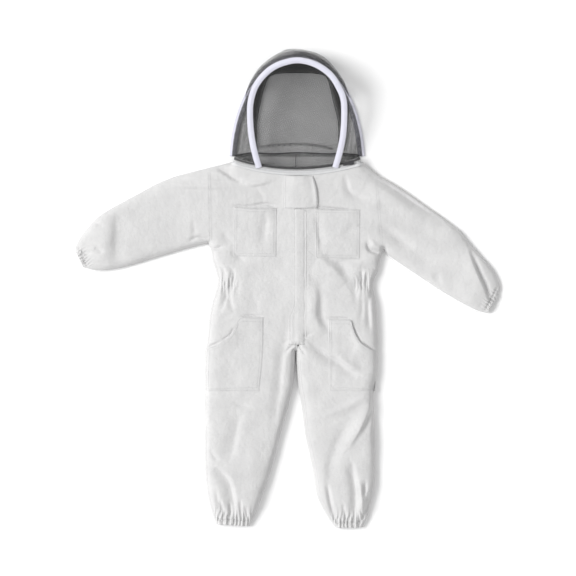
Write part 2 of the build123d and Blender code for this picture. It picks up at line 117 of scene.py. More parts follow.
# ---------------------------------------------------------------- curves and grids
def smooth(points, shares):
    """Points at shares of the length of a smooth curve through given points."""
    p = np.array(points, float)
    if len(p) > 2:
        ends = np.vstack([2 * p[0] - p[1], p, 2 * p[-1] - p[-2]])
        t = np.linspace(0, 1, 24, endpoint=False)[:, None]
        spans = [0.5 * (2 * b + (c - a) * t + (2 * a - 5 * b + 4 * c - d) * t**2
                        + (3 * b - a - 3 * c + d) * t**3)
                 for a, b, c, d in zip(ends, ends[1:], ends[2:], ends[3:])]
        p = np.vstack(spans + [p[-1:]])
    along = lengths(p)
    return at_places(p, along, np.asarray(shares) * along[-1])


def lengths(points):
    """How far along a line each of its points is."""
    return np.concatenate([[0], np.cumsum(np.linalg.norm(np.diff(points, axis=0), axis=1))])


def at_places(points, along, places):
    """Points of a line at given places along it."""
    return np.stack([np.interp(places, along, column) for column in np.transpose(points)], axis=1)


def unit(vectors):
    """The same directions, one unit long."""
    size = np.linalg.norm(vectors, axis=-1, keepdims=True)
    return vectors / np.maximum(size, 1e-12)


def shares_of(count):
    """Evenly spaced shares from 0 to 1."""
    return np.linspace(0, 1, count)


def dense_ends(count, amount):
    """Shares from 0 to 1 that lie closer together near both ends."""
    t = np.linspace(0, 1, count)
    return t - amount * np.sin(2 * np.pi * t) / (2 * np.pi)


def ruled(curve_a, curve_b, shares):
    """Grid of points: rows follow the two curves, columns run from a to b."""
    return curve_a[:, None, :] * (1 - shares[None, :, None]) + curve_b[:, None, :] * shares[None, :, None]


def grid_faces(rows, columns, start=0, flip=False, closed=False):
    """Quads of a grid whose points are numbered row by row."""
    faces = []
    for row in range(rows - 1):
        for column in range(columns if closed else columns - 1):
            a = start + row * columns + column
            b = start + row * columns + (column + 1) % columns
            quad = (a, b, b + columns, a + columns)
            faces.append((a, *quad[:0:-1]) if flip else quad)
    return faces


def make_object(name, points, faces, material, uv=None, smooth_shading=True):
    """A mesh object whose texture places are its places on the floor, unless uv says others."""
    mesh = bpy.data.meshes.new(name)
    mesh.from_pydata([tuple(p) for p in np.asarray(points)], [], faces)
    mesh.update()
    obj = bpy.data.objects.new(name, mesh)
    bpy.context.scene.collection.objects.link(obj)
    mesh.materials.append(material)
    if smooth_shading:
        mesh.polygons.foreach_set("use_smooth", [True] * len(mesh.polygons))
    flat = np.asarray(points)[:, :2] if uv is None else np.asarray(uv)
    layer = mesh.uv_layers.new(name="cloth")
    loops = np.zeros(len(mesh.loops), int)
    mesh.loops.foreach_get("vertex_index", loops)
    layer.data.foreach_set("uv", flat[loops].astype(np.float32).ravel())
    return obj


def grid_object(name, grid, material, uv=None, flip=False, closed=False):
    """A grid of points, rows by columns, as an object."""
    faces = grid_faces(*grid.shape[:2], flip=flip, closed=closed)
    return make_object(name, grid.reshape(-1, 3), faces, material, uv=uv)


def slab(name, upper, lower, material):
    """Two grids of points, one over the other, as one object that is closed all round."""
    rows, columns = upper.shape[:2]
    count = rows * columns
    rim = list(range(columns)) + [r * columns + columns - 1 for r in range(1, rows)]
    rim += [(rows - 1) * columns + c for c in range(columns - 2, -1, -1)]
    rim += [r * columns for r in range(rows - 2, 0, -1)]
    faces = grid_faces(rows, columns) + grid_faces(rows, columns, start=count, flip=True)
    faces += [(a, a + count, b + count, b) for a, b in zip(rim, rim[1:] + rim[:1])]
    return make_object(name, np.vstack([upper.reshape(-1, 3), lower.reshape(-1, 3)]), faces, material)


# ---------------------------------------------------------------- how the cloth stands
def smoothstep(value, low, high):
    t = np.clip((value - low) / (high - low), 0, 1)
    return t * t * (3 - 2 * t)


def value_noise(x, y, size, seed):
    """Soft random hills between -1 and 1, one every size metres."""
    cells, shift = 64, 400
    table = np.random.RandomState(seed).uniform(-1, 1, (cells, cells))
    u, v = x / size + shift, y / size + shift
    i, j = np.floor(u).astype(int), np.floor(v).astype(int)
    fu, fv = smoothstep(u - i, 0, 1), smoothstep(v - j, 0, 1)
    here, there = i % cells, (i + 1) % cells
    low, high = j % cells, (j + 1) % cells
    a = table[here, low] * (1 - fu) + table[there, low] * fu
    b = table[here, high] * (1 - fu) + table[there, high] * fu
    return a * (1 - fv) + b * fv


def distance_to(x, y, line):
    """Distance, place along (0 to 1) and signed side of points against a line of points."""
    best = np.full(x.shape, FAR)
    place = np.zeros(x.shape)
    side = np.zeros(x.shape)
    starts = lengths(line)
    for p, q, start, end in zip(line, line[1:], starts, starts[1:]):
        d = q - p
        t = np.clip(((x - p[0]) * d[0] + (y - p[1]) * d[1]) / max(d @ d, 1e-12), 0, 1)
        ex, ey = x - p[0] - t * d[0], y - p[1] - t * d[1]
        length = np.hypot(ex, ey)
        nearer = length < best
        best = np.where(nearer, length, best)
        place = np.where(nearer, (start + t * (end - start)) / starts[-1], place)
        side = np.where(nearer, np.sign(d[0] * (y - p[1]) - d[1] * (x - p[0])), side)
    return best, place, side


def inside(x, y, polygon):
    """Which points are inside a closed outline."""
    result = np.zeros(x.shape, bool)
    for p, q in zip(polygon, np.roll(polygon, -1, axis=0)):
        if p[1] == q[1]:
            continue
        crosses = (p[1] > y) != (q[1] > y)
        result ^= crosses & (x < (q[0] - p[0]) * (y - p[1]) / (q[1] - p[1]) + p[0])
    return result


def outline_lines():
    """The closed seams that the cloth falls away to, as lines of points in metres."""
    lines = []
    for who in SIDES:
        for seam in (SIDE, SLEEVE_TOP, SLEEVE_UNDER, LEG_OUTER, LEG_INNER):
            lines.append(smooth(mm(seam[who]), shares_of(60)))
        lines.append(mm([SHOULDER[who], NECK_CORNER[who]]))
    return lines


class Puff:
    """How full the suit is over its whole outline: 0 at the seams, 1 well inside."""

    step = 2.5 * MM
    rounds = 260
    low, high = np.array((-0.66, -0.72)), np.array((0.62, 0.42))
    run_on = 12 * MM         # how far the open ends of the outline run on

    def __init__(self):
        size = (self.high - self.low) / self.step
        x, y = np.meshgrid(*(start + np.arange(int(count)) * self.step
                             for start, count in zip(self.low, size)))
        cloth = np.zeros(x.shape, bool)
        for polygon in self.areas():
            cloth |= inside(x, y, polygon)
        keep = cloth[1:-1, 1:-1]
        pull = (self.step / PUFF_LENGTH) ** 2
        full = cloth.astype(float)
        for _ in range(self.rounds):
            around = full[:-2, 1:-1] + full[2:, 1:-1] + full[1:-1, :-2] + full[1:-1, 2:]
            full[1:-1, 1:-1] = np.where(keep, (around + pull) / (4 + pull), 0)
        self.full = full
        self.lines = outline_lines()

    def areas(self):
        """Outlines of the torso, sleeves and legs, run on past their open ends."""
        shares = shares_of(60)
        right, left = (smooth(mm(SIDE[who]), shares) for who in SIDES)
        top = mm([SHOULDER[RIGHT], NECK_CORNER[RIGHT], (-165, 410), (180, 410), NECK_CORNER[LEFT],
                  SHOULDER[LEFT]])
        yield np.vstack([right, top, left[::-1]])
        for who in SIDES:
            for pair in LIMB_SEAMS.values():
                first, second = (smooth(mm(seam[who]), shares) for seam in pair)
                ends = [line[-1] + unit(line[-1] - line[-3]) * self.run_on for line in (first, second)]
                yield np.vstack([first, ends, second[::-1]])

    def at(self, x, y):
        """Fullness, and the distance to the nearest seam."""
        u = np.clip((x - self.low[0]) / self.step, 0, self.full.shape[1] - 2)
        v = np.clip((y - self.low[1]) / self.step, 0, self.full.shape[0] - 2)
        i, j = u.astype(int), v.astype(int)
        fu, fv = u - i, v - j
        f = self.full
        raster = (
            f[j, i] * (1 - fu) * (1 - fv) + f[j, i + 1] * fu * (1 - fv)
            + f[j + 1, i] * (1 - fu) * fv + f[j + 1, i + 1] * fu * fv
        )
        near = np.min([distance_to(x, y, line)[0] for line in self.lines], axis=0)
        exact = 1 - np.exp(-near / PUFF_LENGTH)
        share = smoothstep(near, 4 * MM, 13 * MM)
        return exact * (1 - share) + raster * share, near


puff = Puff()

# Folds as (line, height, width on the left of the line, width on its right), in millimetres.
# A negative height is a valley. Narrow on one side makes a crisp crease.
FOLDS = [
    # wearer's right shoulder and sleeve
    ([(-222, 326), (-196, 312), (-163, 292), (-142, 284)], -7.0, 16, 6),
    ([(-142, 279), (-119, 275), (-97, 278), (-64, 287)], 4.6, 13, 4.5),
    ([(-310, 294), (-250, 292), (-192, 290)], 3.0, 10, 5),
    ([(-345, 273), (-262, 270), (-180, 267)], 3.6, 13, 5.5),
    ([(-292, 122), (-264, 130), (-235, 124)], -5.0, 6, 4),
    ([(-232, 103), (-216, 100), (-198, 106)], -5.0, 5, 4),
    ([(-200, 146), (-186, 130), (-172, 110)], -3.4, 9, 14),
    ([(-514, 196), (-518, 134), (-522, 60)], 4.6, 24, 30),
    ([(-488, 200), (-489, 134), (-492, 62)], -3.4, 26, 12),
    ([(-550, 169), (-538, 166), (-526, 164)], -3.0, 5, 5),
    ([(-592, 93), (-574, 88), (-560, 87)], -4.6, 5, 6),
    ([(-550, 105), (-538, 97), (-526, 90)], -3.6, 6, 8),
    ([(-279, 176), (-277, 150), (-274, 126)], -1.8, 7, 7),
    ([(-430, 210), (-400, 170), (-382, 120)], 1.6, 28, 28),
    # wearer's left shoulder and sleeve
    ([(139, 302), (143, 276), (152, 255), (176, 243), (208, 232)], -4.2, 6, 10),
    ([(196, 284), (270, 241), (307, 213), (357, 194), (408, 170)], 4.6, 13, 42),
    ([(207, 168), (240, 156), (270, 141), (290, 124), (330, 96)], -5.0, 12, 16),
    ([(198, 116), (204, 98), (218, 91), (238, 86)], -7.5, 8, 5),
    ([(206, 126), (218, 110), (240, 100)], 3.4, 8, 6),
    ([(474, 102), (478, 82), (496, 38), (517, -11), (531, -55)], 6.0, 5, 40),
    ([(486, 86), (504, 38), (525, -8), (538, -42)], -6.5, 9, 4),
    ([(386, 36), (392, 16), (400, -4)], -3.0, 11, 12),
    ([(222, 214), (262, 210), (300, 196)], -2.2, 12, 12),
    ([(204, 316), (244, 292), (292, 260), (340, 226), (392, 190), (440, 156)], -9.0, 5, 24),
    ([(300, 150), (345, 128), (395, 96)], 2.2, 18, 20),
    # chest
    ([(-80, 205), (-82, 160), (-90, 112)], -3.0, 9, 16),
    ([(-176, 94), (-158, 82), (-138, 68)], -4.0, 6, 10),
    ([(-104, 260), (-90, 244), (-84, 228)], -1.8, 6, 10),
    ([(60, 190), (66, 140), (74, 92)], -3.0, 14, 6),
    ([(60, 74), (88, 53), (107, 40), (120, 24), (138, 2)], 6.4, 12, 30),
    ([(80, 86), (112, 66), (132, 48), (146, 22)], -4.0, 14, 12),
    ([(112, 62), (144, 66), (176, 64)], -2.6, 8, 6),
    ([(178, 47), (202, 48), (230, 46)], -3.4, 12, 5),
    ([(110, 130), (130, 150), (150, 178)], 1.4, 16, 14),
    # behind the mouths of the pockets
    ([(-172, 218), (-128, 216), (-108, 219)], -4.2, 3, 2.6),
    ([(-112, 218), (-84, 222), (-52, 216)], -5.6, 4.5, 3),
    ([(52, 213), (84, 211), (120, 208), (156, 207)], -5.6, 4, 3),
    ([(-146, -85), (-118, -84), (-84, -85)], -3.4, 3, 2.4),
    ([(-244, -172), (-222, -164), (-204, -156)], -5.0, 4, 2.4),
    ([(-200, -152), (-178, -136), (-166, -116)], -2.6, 3, 2.4),
    ([(90, -91), (124, -91), (152, -93)], -3.4, 3, 2.4),
    ([(226, -179), (204, -170), (184, -156)], -5.0, 2.4, 4),
    ([(182, -154), (170, -137), (161, -114)], -3.4, 2.4, 3),
    # waist of the wearer's right side
    ([(-213, 60), (-196, 42), (-193, 20), (-192, -12), (-190, -36), (-204, -72)], -5.0, 5, 10),
    ([(-186, 56), (-168, 34), (-170, 0), (-179, -28), (-170, -72)], -5.0, 5, 10),
    ([(-218, 66), (-207, 24), (-207, 0), (-213, -24)], -3.6, 4, 6),
    ([(-181, 22), (-180, 0), (-184, -14)], -3.0, 4, 4),
    ([(-158, 30), (-156, 0), (-160, -30)], -2.2, 7, 9),
    ([(-206, -82), (-190, -84), (-172, -84)], -2.0, 8, 8),
    # waist of the wearer's left side
    ([(184, 42), (184, 12), (187, -14)], -6.0, 4, 7),
    ([(199, 32), (197, 6), (200, -16)], -6.0, 4, 6),
    ([(213, 26), (211, 0), (210, -40)], -5.6, 4, 5),
    ([(201, -28), (201, -70), (205, -122)], -5.0, 6, 10),
    ([(183, -28), (185, -60), (182, -98)], -3.4, 6, 9),
    ([(219, -38), (222, -56), (224, -76)], -3.6, 4, 5),
    ([(169, 22), (165, -20), (170, -64)], -2.4, 7, 9),
    # belly and crotch
    ([(46, 6), (55, -30), (53, -79), (64, -112), (84, -138)], 5.4, 12, 28),
    ([(66, -6), (72, -40), (72, -80), (84, -108), (102, -130)], -3.4, 12, 10),
    ([(20, -6), (28, -50), (26, -92)], -1.6, 10, 12),
    ([(1, -137), (19, -143), (46, -133)], -4.4, 6, 4),
    ([(28, -153), (50, -165), (66, -177), (90, -195), (122, -212), (155, -240), (178, -248)], -7.2, 7, 15),
    ([(118, -196), (150, -220), (182, -232)], 3.4, 10, 9),
    ([(6, -152), (20, -158), (34, -168)], -2.8, 4, 4),
    ([(6, -166), (18, -176), (28, -190)], -3.0, 4, 4),
    ([(-2, -166), (-14, -172), (-26, -186)], -3.0, 4, 4),
    ([(-3, -150), (-18, -152), (-32, -160)], -2.0, 4, 5),
    ([(-15, -76), (-18, -119), (-26, -154), (-34, -191), (-41, -246), (-43, -284), (-54, -346), (-58, -396)],
     -3.8, 9, 15),
    ([(-120, -20), (-112, -60), (-118, -88)], -1.6, 14, 18),
    # wearer's right leg
    ([(-146, -346), (-161, -392), (-170, -447), (-186, -480)], -4.4, 10, 24),
    ([(-222, -498), (-196, -522), (-181, -541), (-174, -564), (-168, -600), (-164, -640)], -8.0, 7, 20),
    ([(-207, -588), (-200, -608), (-193, -630)], -4.6, 4, 6),
    ([(-178, -598), (-177, -620), (-178, -642)], -4.0, 4, 5),
    ([(-150, -592), (-148, -616), (-147, -644)], -4.6, 5, 7),
    ([(-137, -606), (-134, -626), (-134, -648)], -4.0, 4, 5),
    ([(-232, -450), (-222, -470), (-208, -482)], -2.6, 6, 7),
    ([(-175, -316), (-150, -328), (-122, -337)], -2.0, 5, 6),
    ([(-216, -560), (-213, -590), (-206, -622)], -2.6, 5, 7),
    ([(-110, -420), (-116, -480), (-130, -530)], 1.8, 22, 26),
    # wearer's left leg
    ([(200, -303), (165, -322), (131, -340), (69, -360)], 3.8, 12, 10),
    ([(214, -320), (193, -366), (173, -404), (148, -444)], 6.2, 6, 22),
    ([(213, -334), (201, -368), (184, -406)], -4.4, 11, 6),
    ([(147, -376), (115, -440), (99, -490), (95, -556)], -4.2, 20, 13),
    ([(155, -486), (163, -538), (167, -580), (163, -642)], -9.0, 7, 14),
    ([(178, -543), (184, -580), (184, -624)], 4.0, 6, 6),
    ([(194, -540), (192, -562), (188, -584)], -4.8, 5, 6),
    ([(204, -574), (198, -618), (178, -656)], -6.4, 4, 6),
    ([(89, -545), (99, -600), (113, -650)], -6.0, 5, 7),
    ([(132, -600), (137, -628), (138, -660)], -3.4, 4, 5),
    ([(60, -262), (100, -284), (150, -290)], 1.8, 18, 18),
]
FOLD_DEPTH = 1.22            # makes every fold deeper or shallower
FOLD_LINES = [(smooth(mm(line), shares_of(14)), h * FOLD_DEPTH * MM, a * MM, b * MM)
              for line, h, a, b in FOLDS]


def gathers(x, y, centre, across, spread, reach, pitch, height, seed):
    """Puckers beside an elastic. across is the direction that the elastic runs in."""
    ax, ay = across
    s = (x - centre[0]) * ax + (y - centre[1]) * ay
    d = (x - centre[0]) * -ay + (y - centre[1]) * ax
    wander = value_noise(s, d, 0.035, seed) * 0.35 + value_noise(s, d, 0.012, seed + 1) * 0.10
    waves = np.sin(2 * np.pi * (s / pitch + wander * 1.6))
    waves = np.where(waves > 0, waves, waves * 0.7)
    waves = waves + 0.35 * np.sin(2 * np.pi * s / pitch * 1.73 + 1.1 + seed)
    fade = np.exp(-((d / reach) ** 2)) * (1 - smoothstep(np.abs(s), spread * 0.75, spread))
    return height * waves * fade


def cuff_frame(who, limb):
    """Middle, direction across and half-width of the open end of a sleeve or leg."""
    a, b = (mm(seam[who][-1]) for seam in LIMB_SEAMS[limb])
    return (a + b) / 2, unit(b - a), np.linalg.norm(b - a) / 2


def from_cuff(x, y, middle, across):
    """Distances from the line of an open end, and from its middle."""
    away = np.abs((x - middle[0]) * -across[1] + (y - middle[1]) * across[0])
    return away, np.hypot(x - middle[0], y - middle[1])


# Soft unevenness of the cloth: height in millimetres, size of the hills in metres, and seed
UNEVEN = [(1.8, 0.085, 3), (1.0, 0.036, 5), (0.32, 0.015, 9)]
WAIST_GATHERS = [(-188, 4), (194, 4)]
# Gathers of the hems: their middle from the end, reach, pitch, height and seed, and the stitched row
HEMS = {
    "leg": (0.010, 0.026, 0.0112, 3.2 * MM, 31, 13 * MM),
    "sleeve": (0, 0.020, 0.0082, 2.4 * MM, 41, 10 * MM),
}


def loose_cloth(x, y):
    """Creases, gathers and soft unevenness of the front, in metres."""
    z = sum(height * MM * value_noise(x, y, size, seed) for height, size, seed in UNEVEN)
    z += 0.5 * MM * value_noise(x, y * 0.25, 0.009, 13) * np.exp(-(((x - ZIP_X) / 0.045) ** 2))
    for line, height, left_width, right_width in FOLD_LINES:
        far = 3.2 * max(left_width, right_width)
        box = (
            (x > line[:, 0].min() - far) & (x < line[:, 0].max() + far)
            & (y > line[:, 1].min() - far) & (y < line[:, 1].max() + far)
        )
        d, place, side = distance_to(x[box], y[box], line)
        width = np.where(side > 0, left_width, right_width)
        taper = np.sin(np.pi * np.clip(place, 0.02, 0.98)) ** 0.6
        z[box] += height * taper * np.exp(-((d / width) ** 2))
    for centre in WAIST_GATHERS:
        z += gathers(x, y, mm(centre), (1, 0), 0.034, 0.024, 0.0098, 1.5 * MM, 21)
    for who in SIDES:
        for limb, (back, reach, pitch, height, seed, inset) in HEMS.items():
            middle, across, half = cuff_frame(who, limb)
            z += gathers(x, y, middle + (0, back), across, half * 1.5, reach, pitch, height, seed)
            z += channel(x, y, middle, across, inset)
    return z


def channel(x, y, middle, across, inset):
    """The row of stitches above a hem draws the cloth in."""
    away, aside = from_cuff(x, y, middle, across)
    return np.where(aside < 0.11, -2.6 * MM * np.exp(-(((away - inset) / (3.2 * MM)) ** 2)), 0)


def neck_polar(x, y):
    """Radius and angle in degrees of points about the centre of the neckline's arc."""
    dx, dy = x - NECK_CENTRE[0], NECK_CENTRE[1] - y
    return np.hypot(dx, dy), np.degrees(np.arctan2(dx, dy))


def neck_xy(radius, angle):
    """Point of an arc along the neckline, angle in degrees towards the wearer's left."""
    a = np.radians(angle)
    return NECK_CENTRE[0] + radius * np.sin(a), NECK_CENTRE[1] - radius * np.cos(a)


def held_up(x, y):
    """1 where the front zip and the neck zip hold the cloth level, 0 elsewhere."""
    radius, angle = neck_polar(x, y)
    neck = np.exp(-(((radius - NECK_RADIUS) / 0.026) ** 2))
    neck = np.where(radius < NECK_RADIUS, 1, neck)
    neck = neck * (1 - smoothstep(np.abs(angle), NECK_FLAT_ANGLE, NECK_HALF_ANGLE))
    front = np.exp(-(((x - ZIP_X) / 0.024) ** 2)) * smoothstep(y, -0.180, -0.150)
    return np.maximum(neck, front)


def cloth_height(x, y):
    """Height of the middle of the suit before creases, lower in the sleeves and at the cuffs."""
    on_sleeve = smoothstep(np.abs(x - 0.003), 0.20, 0.36)
    height = BODY_HEIGHT + (SLEEVE_HEIGHT - BODY_HEIGHT) * on_sleeve
    for who in SIDES:
        for limb in LIMB_SEAMS:
            away, aside = from_cuff(x, y, *cuff_frame(who, limb)[:2])
            pinch = (1 - smoothstep(away, 0.004, 0.07)) * (1 - smoothstep(aside, 0.10, 0.16))
            height = height * (1 - 0.30 * pinch)
    return height


def zip_rise(x, y):
    """The soft hill along the front zip, which holds up the storm flap."""
    middle = 12.5 * MM
    rise = np.exp(-(((x - middle) / 0.046) ** 2)) * smoothstep(y, -0.205, -0.120)
    return 4.8 * MM * rise * (1 - smoothstep(y, 0.225, 0.300))


def beside_zip(x, y):
    """The fronts rise softly to the edges of the storm flap, and drop under it to the zip."""
    return zip_rise(x, y) * smoothstep(np.abs(x - ZIP_X), 6 * MM, 10 * MM)


def front_z(x, y):
    """Height of the suit's front at any place."""
    full, near = puff.at(x, y)
    level = held_up(x, y)
    full = full + (1 - full) * level
    z = EDGE_HEIGHT + (cloth_height(x, y) - EDGE_HEIGHT) * full**0.75
    z = z + loose_cloth(x, y) * smoothstep(near, 0.5 * MM, 14 * MM) * (1 - 0.9 * level)
    return z + beside_zip(x, y)


def back_z(x, y):
    """Height of the suit's back, which lies on the floor and turns up to the side seams."""
    _, near = puff.at(x, y)
    lift = (EDGE_HEIGHT - FLOOR_GAP) * np.exp(-near / (6 * MM))
    ripple = 0.5 * MM * (1 + value_noise(x, y, 0.05, 61)) * smoothstep(near, 0, 20 * MM)
    return FLOOR_GAP + lift + ripple


# ---------------------------------------------------------------- materials
def new_material(name, colour, roughness, metallic=0.0, sheen=0.0):
    """A material with a principled shader, and what the small helpers below need."""
    material = bpy.data.materials.new(name)
    material.use_nodes = True
    shader = material.node_tree.nodes["Principled BSDF"]
    shader.inputs["Base Color"].default_value = (*colour, 1)
    shader.inputs["Roughness"].default_value = roughness
    shader.inputs["Metallic"].default_value = metallic
    shader.inputs["Sheen Weight"].default_value = sheen
    return material, material.node_tree, shader


def add_node(tree, kind, inputs=None, **settings):
    node = tree.nodes.new(kind)
    for key, value in settings.items():
        setattr(node, key, value)
    for key, value in (inputs or {}).items():
        if isinstance(value, bpy.types.NodeSocket):
            tree.links.new(value, node.inputs[key])
        else:
            node.inputs[key].default_value = value
    return node


def math_node(tree, operation, a, b=0.0):
    return add_node(tree, "ShaderNodeMath", {0: a, 1: b}, operation=operation).outputs[0]


def noise_node(tree, place, size, detail):
    """Soft noise between 0 and 1, with hills every size metres."""
    inputs = {"Vector": place, "Scale": 1 / size, "Detail": detail}
    return add_node(tree, "ShaderNodeTexNoise", inputs).outputs["Fac"]


def cloth_uv(tree):
    """Place on the flat cloth in metres, as its across and along sockets."""
    uv = add_node(tree, "ShaderNodeUVMap", uv_map="cloth")
    split = add_node(tree, "ShaderNodeSeparateXYZ", {0: uv.outputs[0]})
    return uv.outputs[0], split.outputs[0], split.outputs[1]


def place_of(tree):
    """Place on a carried-over CAD part in metres."""
    return add_node(tree, "ShaderNodeTexCoord").outputs["Object"]


def two_tone(tree, shader, place, size, first, second, detail=3.0):
    """Colour that wanders softly between two close tones."""
    ramp = add_node(tree, "ShaderNodeValToRGB", {"Fac": noise_node(tree, place, size, detail)})
    for stop, position, colour in zip(ramp.color_ramp.elements, (0.3, 0.7), (first, second)):
        stop.position = position
        stop.color = (*colour, 1)
    tree.links.new(ramp.outputs["Color"], shader.inputs["Base Color"])


def bump(tree, shader, height, distance, strength=1.0, under=None):
    inputs = {"Height": height, "Distance": distance, "Strength": strength}
    if under is not None:
        inputs["Normal"] = under
    node = add_node(tree, "ShaderNodeBump", inputs)
    tree.links.new(node.outputs[0], shader.inputs["Normal"])
    return node.outputs[0]


def stripes(tree, along, period):
    """Waves from -1 to 1 along a socket that counts metres."""
    return math_node(tree, "SINE", math_node(tree, "MULTIPLY", along, 2 * math.pi / period))


def cotton(name, first, second, thread=0.55 * MM):
    """A twill with its diagonal ribs and its threads, a little crinkled."""
    material, tree, shader = new_material(name, first, 0.86, sheen=0.22)
    place, across, along = cloth_uv(tree)
    ribs = stripes(tree, math_node(tree, "ADD", across, along), thread * 3)
    both = math_node(tree, "ADD", stripes(tree, across, thread), stripes(tree, along, thread))
    threads = math_node(tree, "MULTIPLY", both, 0.35)
    weave = bump(tree, shader, math_node(tree, "ADD", ribs, threads), 0.08 * MM)
    bump(tree, shader, noise_node(tree, place, 11 * MM, 5.0), 2.2 * MM, 0.7, weave)
    two_tone(tree, shader, place, 45 * MM, first, second, 6.0)
    shader.inputs["Sheen Roughness"].default_value = 0.5
    return material


def woven_tape(name, first, second, rib):
    """Closely ribbed woven tape: bindings, zip tapes and the casings of the hoops."""
    material, tree, shader = new_material(name, first, 0.72, sheen=0.15)
    place, across, along = cloth_uv(tree)
    ribs = math_node(tree, "ADD", stripes(tree, along, rib), stripes(tree, across, rib * 0.55))
    bump(tree, shader, ribs, 0.08 * MM)
    two_tone(tree, shader, place, 20 * MM, first, second)
    return material


def shade(colour, times):
    """The same colour, lighter or darker."""
    return tuple(part * times for part in colour)


def net(name, colour, pitch, bar):
    """Black netting: staggered round holes cut by transparency, where it is stretched a little wider."""
    material, tree, shader = new_material(name, colour, 0.55)
    place, across, along = cloth_uv(tree)

    def of(operation, a, b=0.0):
        return math_node(tree, operation, a, b)

    row = of("MULTIPLY", along, 1 / (pitch * 0.866))
    half_step = of("MULTIPLY", of("MODULO", of("FLOOR", row), 2.0), 0.5)
    shifted = of("ADD", of("MULTIPLY", across, 1 / pitch), half_step)
    du, dv = (of("SUBTRACT", of("FRACT", count), 0.5) for count in (shifted, row))
    far = of("SQRT", of("ADD", of("MULTIPLY", du, du), of("MULTIPLY", dv, dv)))
    hole = add_node(tree, "ShaderNodeMapRange", {0: noise_node(tree, place, 50 * MM, 3.0), 1: 0.3, 2: 0.7,
                                                 3: 0.5 - bar * 1.15, 4: 0.5 - bar * 0.75})
    tree.links.new(of("GREATER_THAN", far, hole.outputs[0]), shader.inputs["Alpha"])
    two_tone(tree, shader, place, 30 * MM, colour, shade(colour, 1.5))
    return material


def tooth_plastic(name, colour):
    material, tree, shader = new_material(name, colour, 0.38)
    two_tone(tree, shader, place_of(tree), 6 * MM, colour, shade(colour, 0.92))
    return material


def metal(name, colour, roughness):
    material, tree, shader = new_material(name, colour, roughness, metallic=1.0)
    grain = noise_node(tree, place_of(tree), MM / 0.9, 4.0)
    rough = add_node(tree, "ShaderNodeMapRange", {0: grain, 3: roughness - 0.08, 4: roughness + 0.14})
    tree.links.new(rough.outputs[0], shader.inputs["Roughness"])
    bump(tree, shader, grain, 0.04 * MM)
    return material


def fuzz(name, colour, grain):
    """Hook-and-loop tape: a dense fleece of tiny loops."""
    material, tree, shader = new_material(name, colour, 0.95, sheen=0.5)
    cells = add_node(tree, "ShaderNodeTexVoronoi", {"Vector": place_of(tree), "Scale": 1 / grain})
    bump(tree, shader, cells.outputs["Distance"], 0.6 * MM)
    two_tone(tree, shader, place_of(tree), grain * 2, colour, shade(colour, 0.85))
    return material


COTTON = cotton("white_cotton", (0.615, 0.612, 0.612), (0.67, 0.667, 0.665))
BINDING = woven_tape("binding_tape", (0.65, 0.655, 0.665), (0.69, 0.695, 0.70), 1.6 * MM)
HOOP_TAPE = woven_tape("hoop_tape", (0.70, 0.70, 0.80), (0.75, 0.745, 0.84), 1.9 * MM)
ZIP_TAPE = woven_tape("zip_tape", (0.66, 0.665, 0.68), (0.70, 0.70, 0.71), 1.2 * MM)
DARK_TAPE = woven_tape("dark_tape", (0.05, 0.05, 0.052), (0.075, 0.075, 0.078), 1.2 * MM)
THREAD = woven_tape("sewing_thread", (0.60, 0.60, 0.605), (0.66, 0.66, 0.66), 0.5 * MM)
ELASTIC = woven_tape("elastic", (0.64, 0.64, 0.65), (0.70, 0.70, 0.71), 2.2 * MM)
VEIL = net("veil_mesh", (0.026, 0.026, 0.027), 3.1 * MM, 0.039)
COIL = tooth_plastic("zip_coil", (0.78, 0.78, 0.78))
ZIP_METAL = metal("zip_metal", (0.72, 0.72, 0.71), 0.32)
DARK_METAL = metal("dark_zip_metal", (0.09, 0.09, 0.095), 0.34)
WIRE = metal("spring_wire", (0.55, 0.55, 0.56), 0.35)
HOOK_AND_LOOP = fuzz("hook_and_loop", (0.76, 0.76, 0.77), 1.1 * MM)


# ---------------------------------------------------------------- the cloth of the suit
class Shell:
    """Grids of the suit's cloth, kept until their shared normals are known."""

    def __init__(self):
        self.parts = []

    def add(self, name, grid, flip, closed=False):
        faces = grid_faces(*grid.shape[:2], flip=flip, closed=closed)
        self.parts.append((name, grid.reshape(-1, 3), faces))

    def build(self, material):
        """Make the objects, with normals averaged over the seams that they share."""
        same = 0.02 * MM
        every = np.vstack([points for _, points, _ in self.parts])
        keys, where = np.unique(np.round(every / same).astype(np.int64), axis=0, return_inverse=True)
        where = where.ravel()
        total = np.zeros((len(keys), 3))
        start = 0
        for _, points, faces in self.parts:
            quads = np.array(faces)
            a, b, c, d = (points[quads[:, k]] for k in range(4))
            normal = np.cross(c - a, d - b)
            for k in range(4):
                np.add.at(total, where[start + quads[:, k]], normal)
            start += len(points)
        normals = unit(total)[where]
        start = 0
        for name, points, faces in self.parts:
            mesh = make_object(name, points, faces, material).data
            mesh.normals_split_custom_set_from_vertices(normals[start:start + len(points)].tolist())
            start += len(points)


SIDE_ROWS, SLEEVE_ROWS, LEG_ROWS = 150, 200, 230
arm_shares = dense_ends(92, 0.4)
panel_shares = dense_ends(112, 0.5)


def straight(start, end, shares):
    """Points at shares of the way between two points."""
    start, end = np.asarray(start), np.asarray(end)
    return start + (end - start) * np.asarray(shares)[:, None]


def side_and_armhole(who):
    """From the crotch line up the side seam, and on up the armhole to the shoulder."""
    side = smooth(mm(SIDE[who]), shares_of(SIDE_ROWS))
    return np.vstack([side, straight(side[-1], mm(SHOULDER[who]), arm_shares)[1:]])


def neck_arc(start_angle, end_angle, count, radius=NECK_RADIUS):
    angles = np.linspace(start_angle, end_angle, count)
    return np.stack(neck_xy(radius, angles), axis=1)


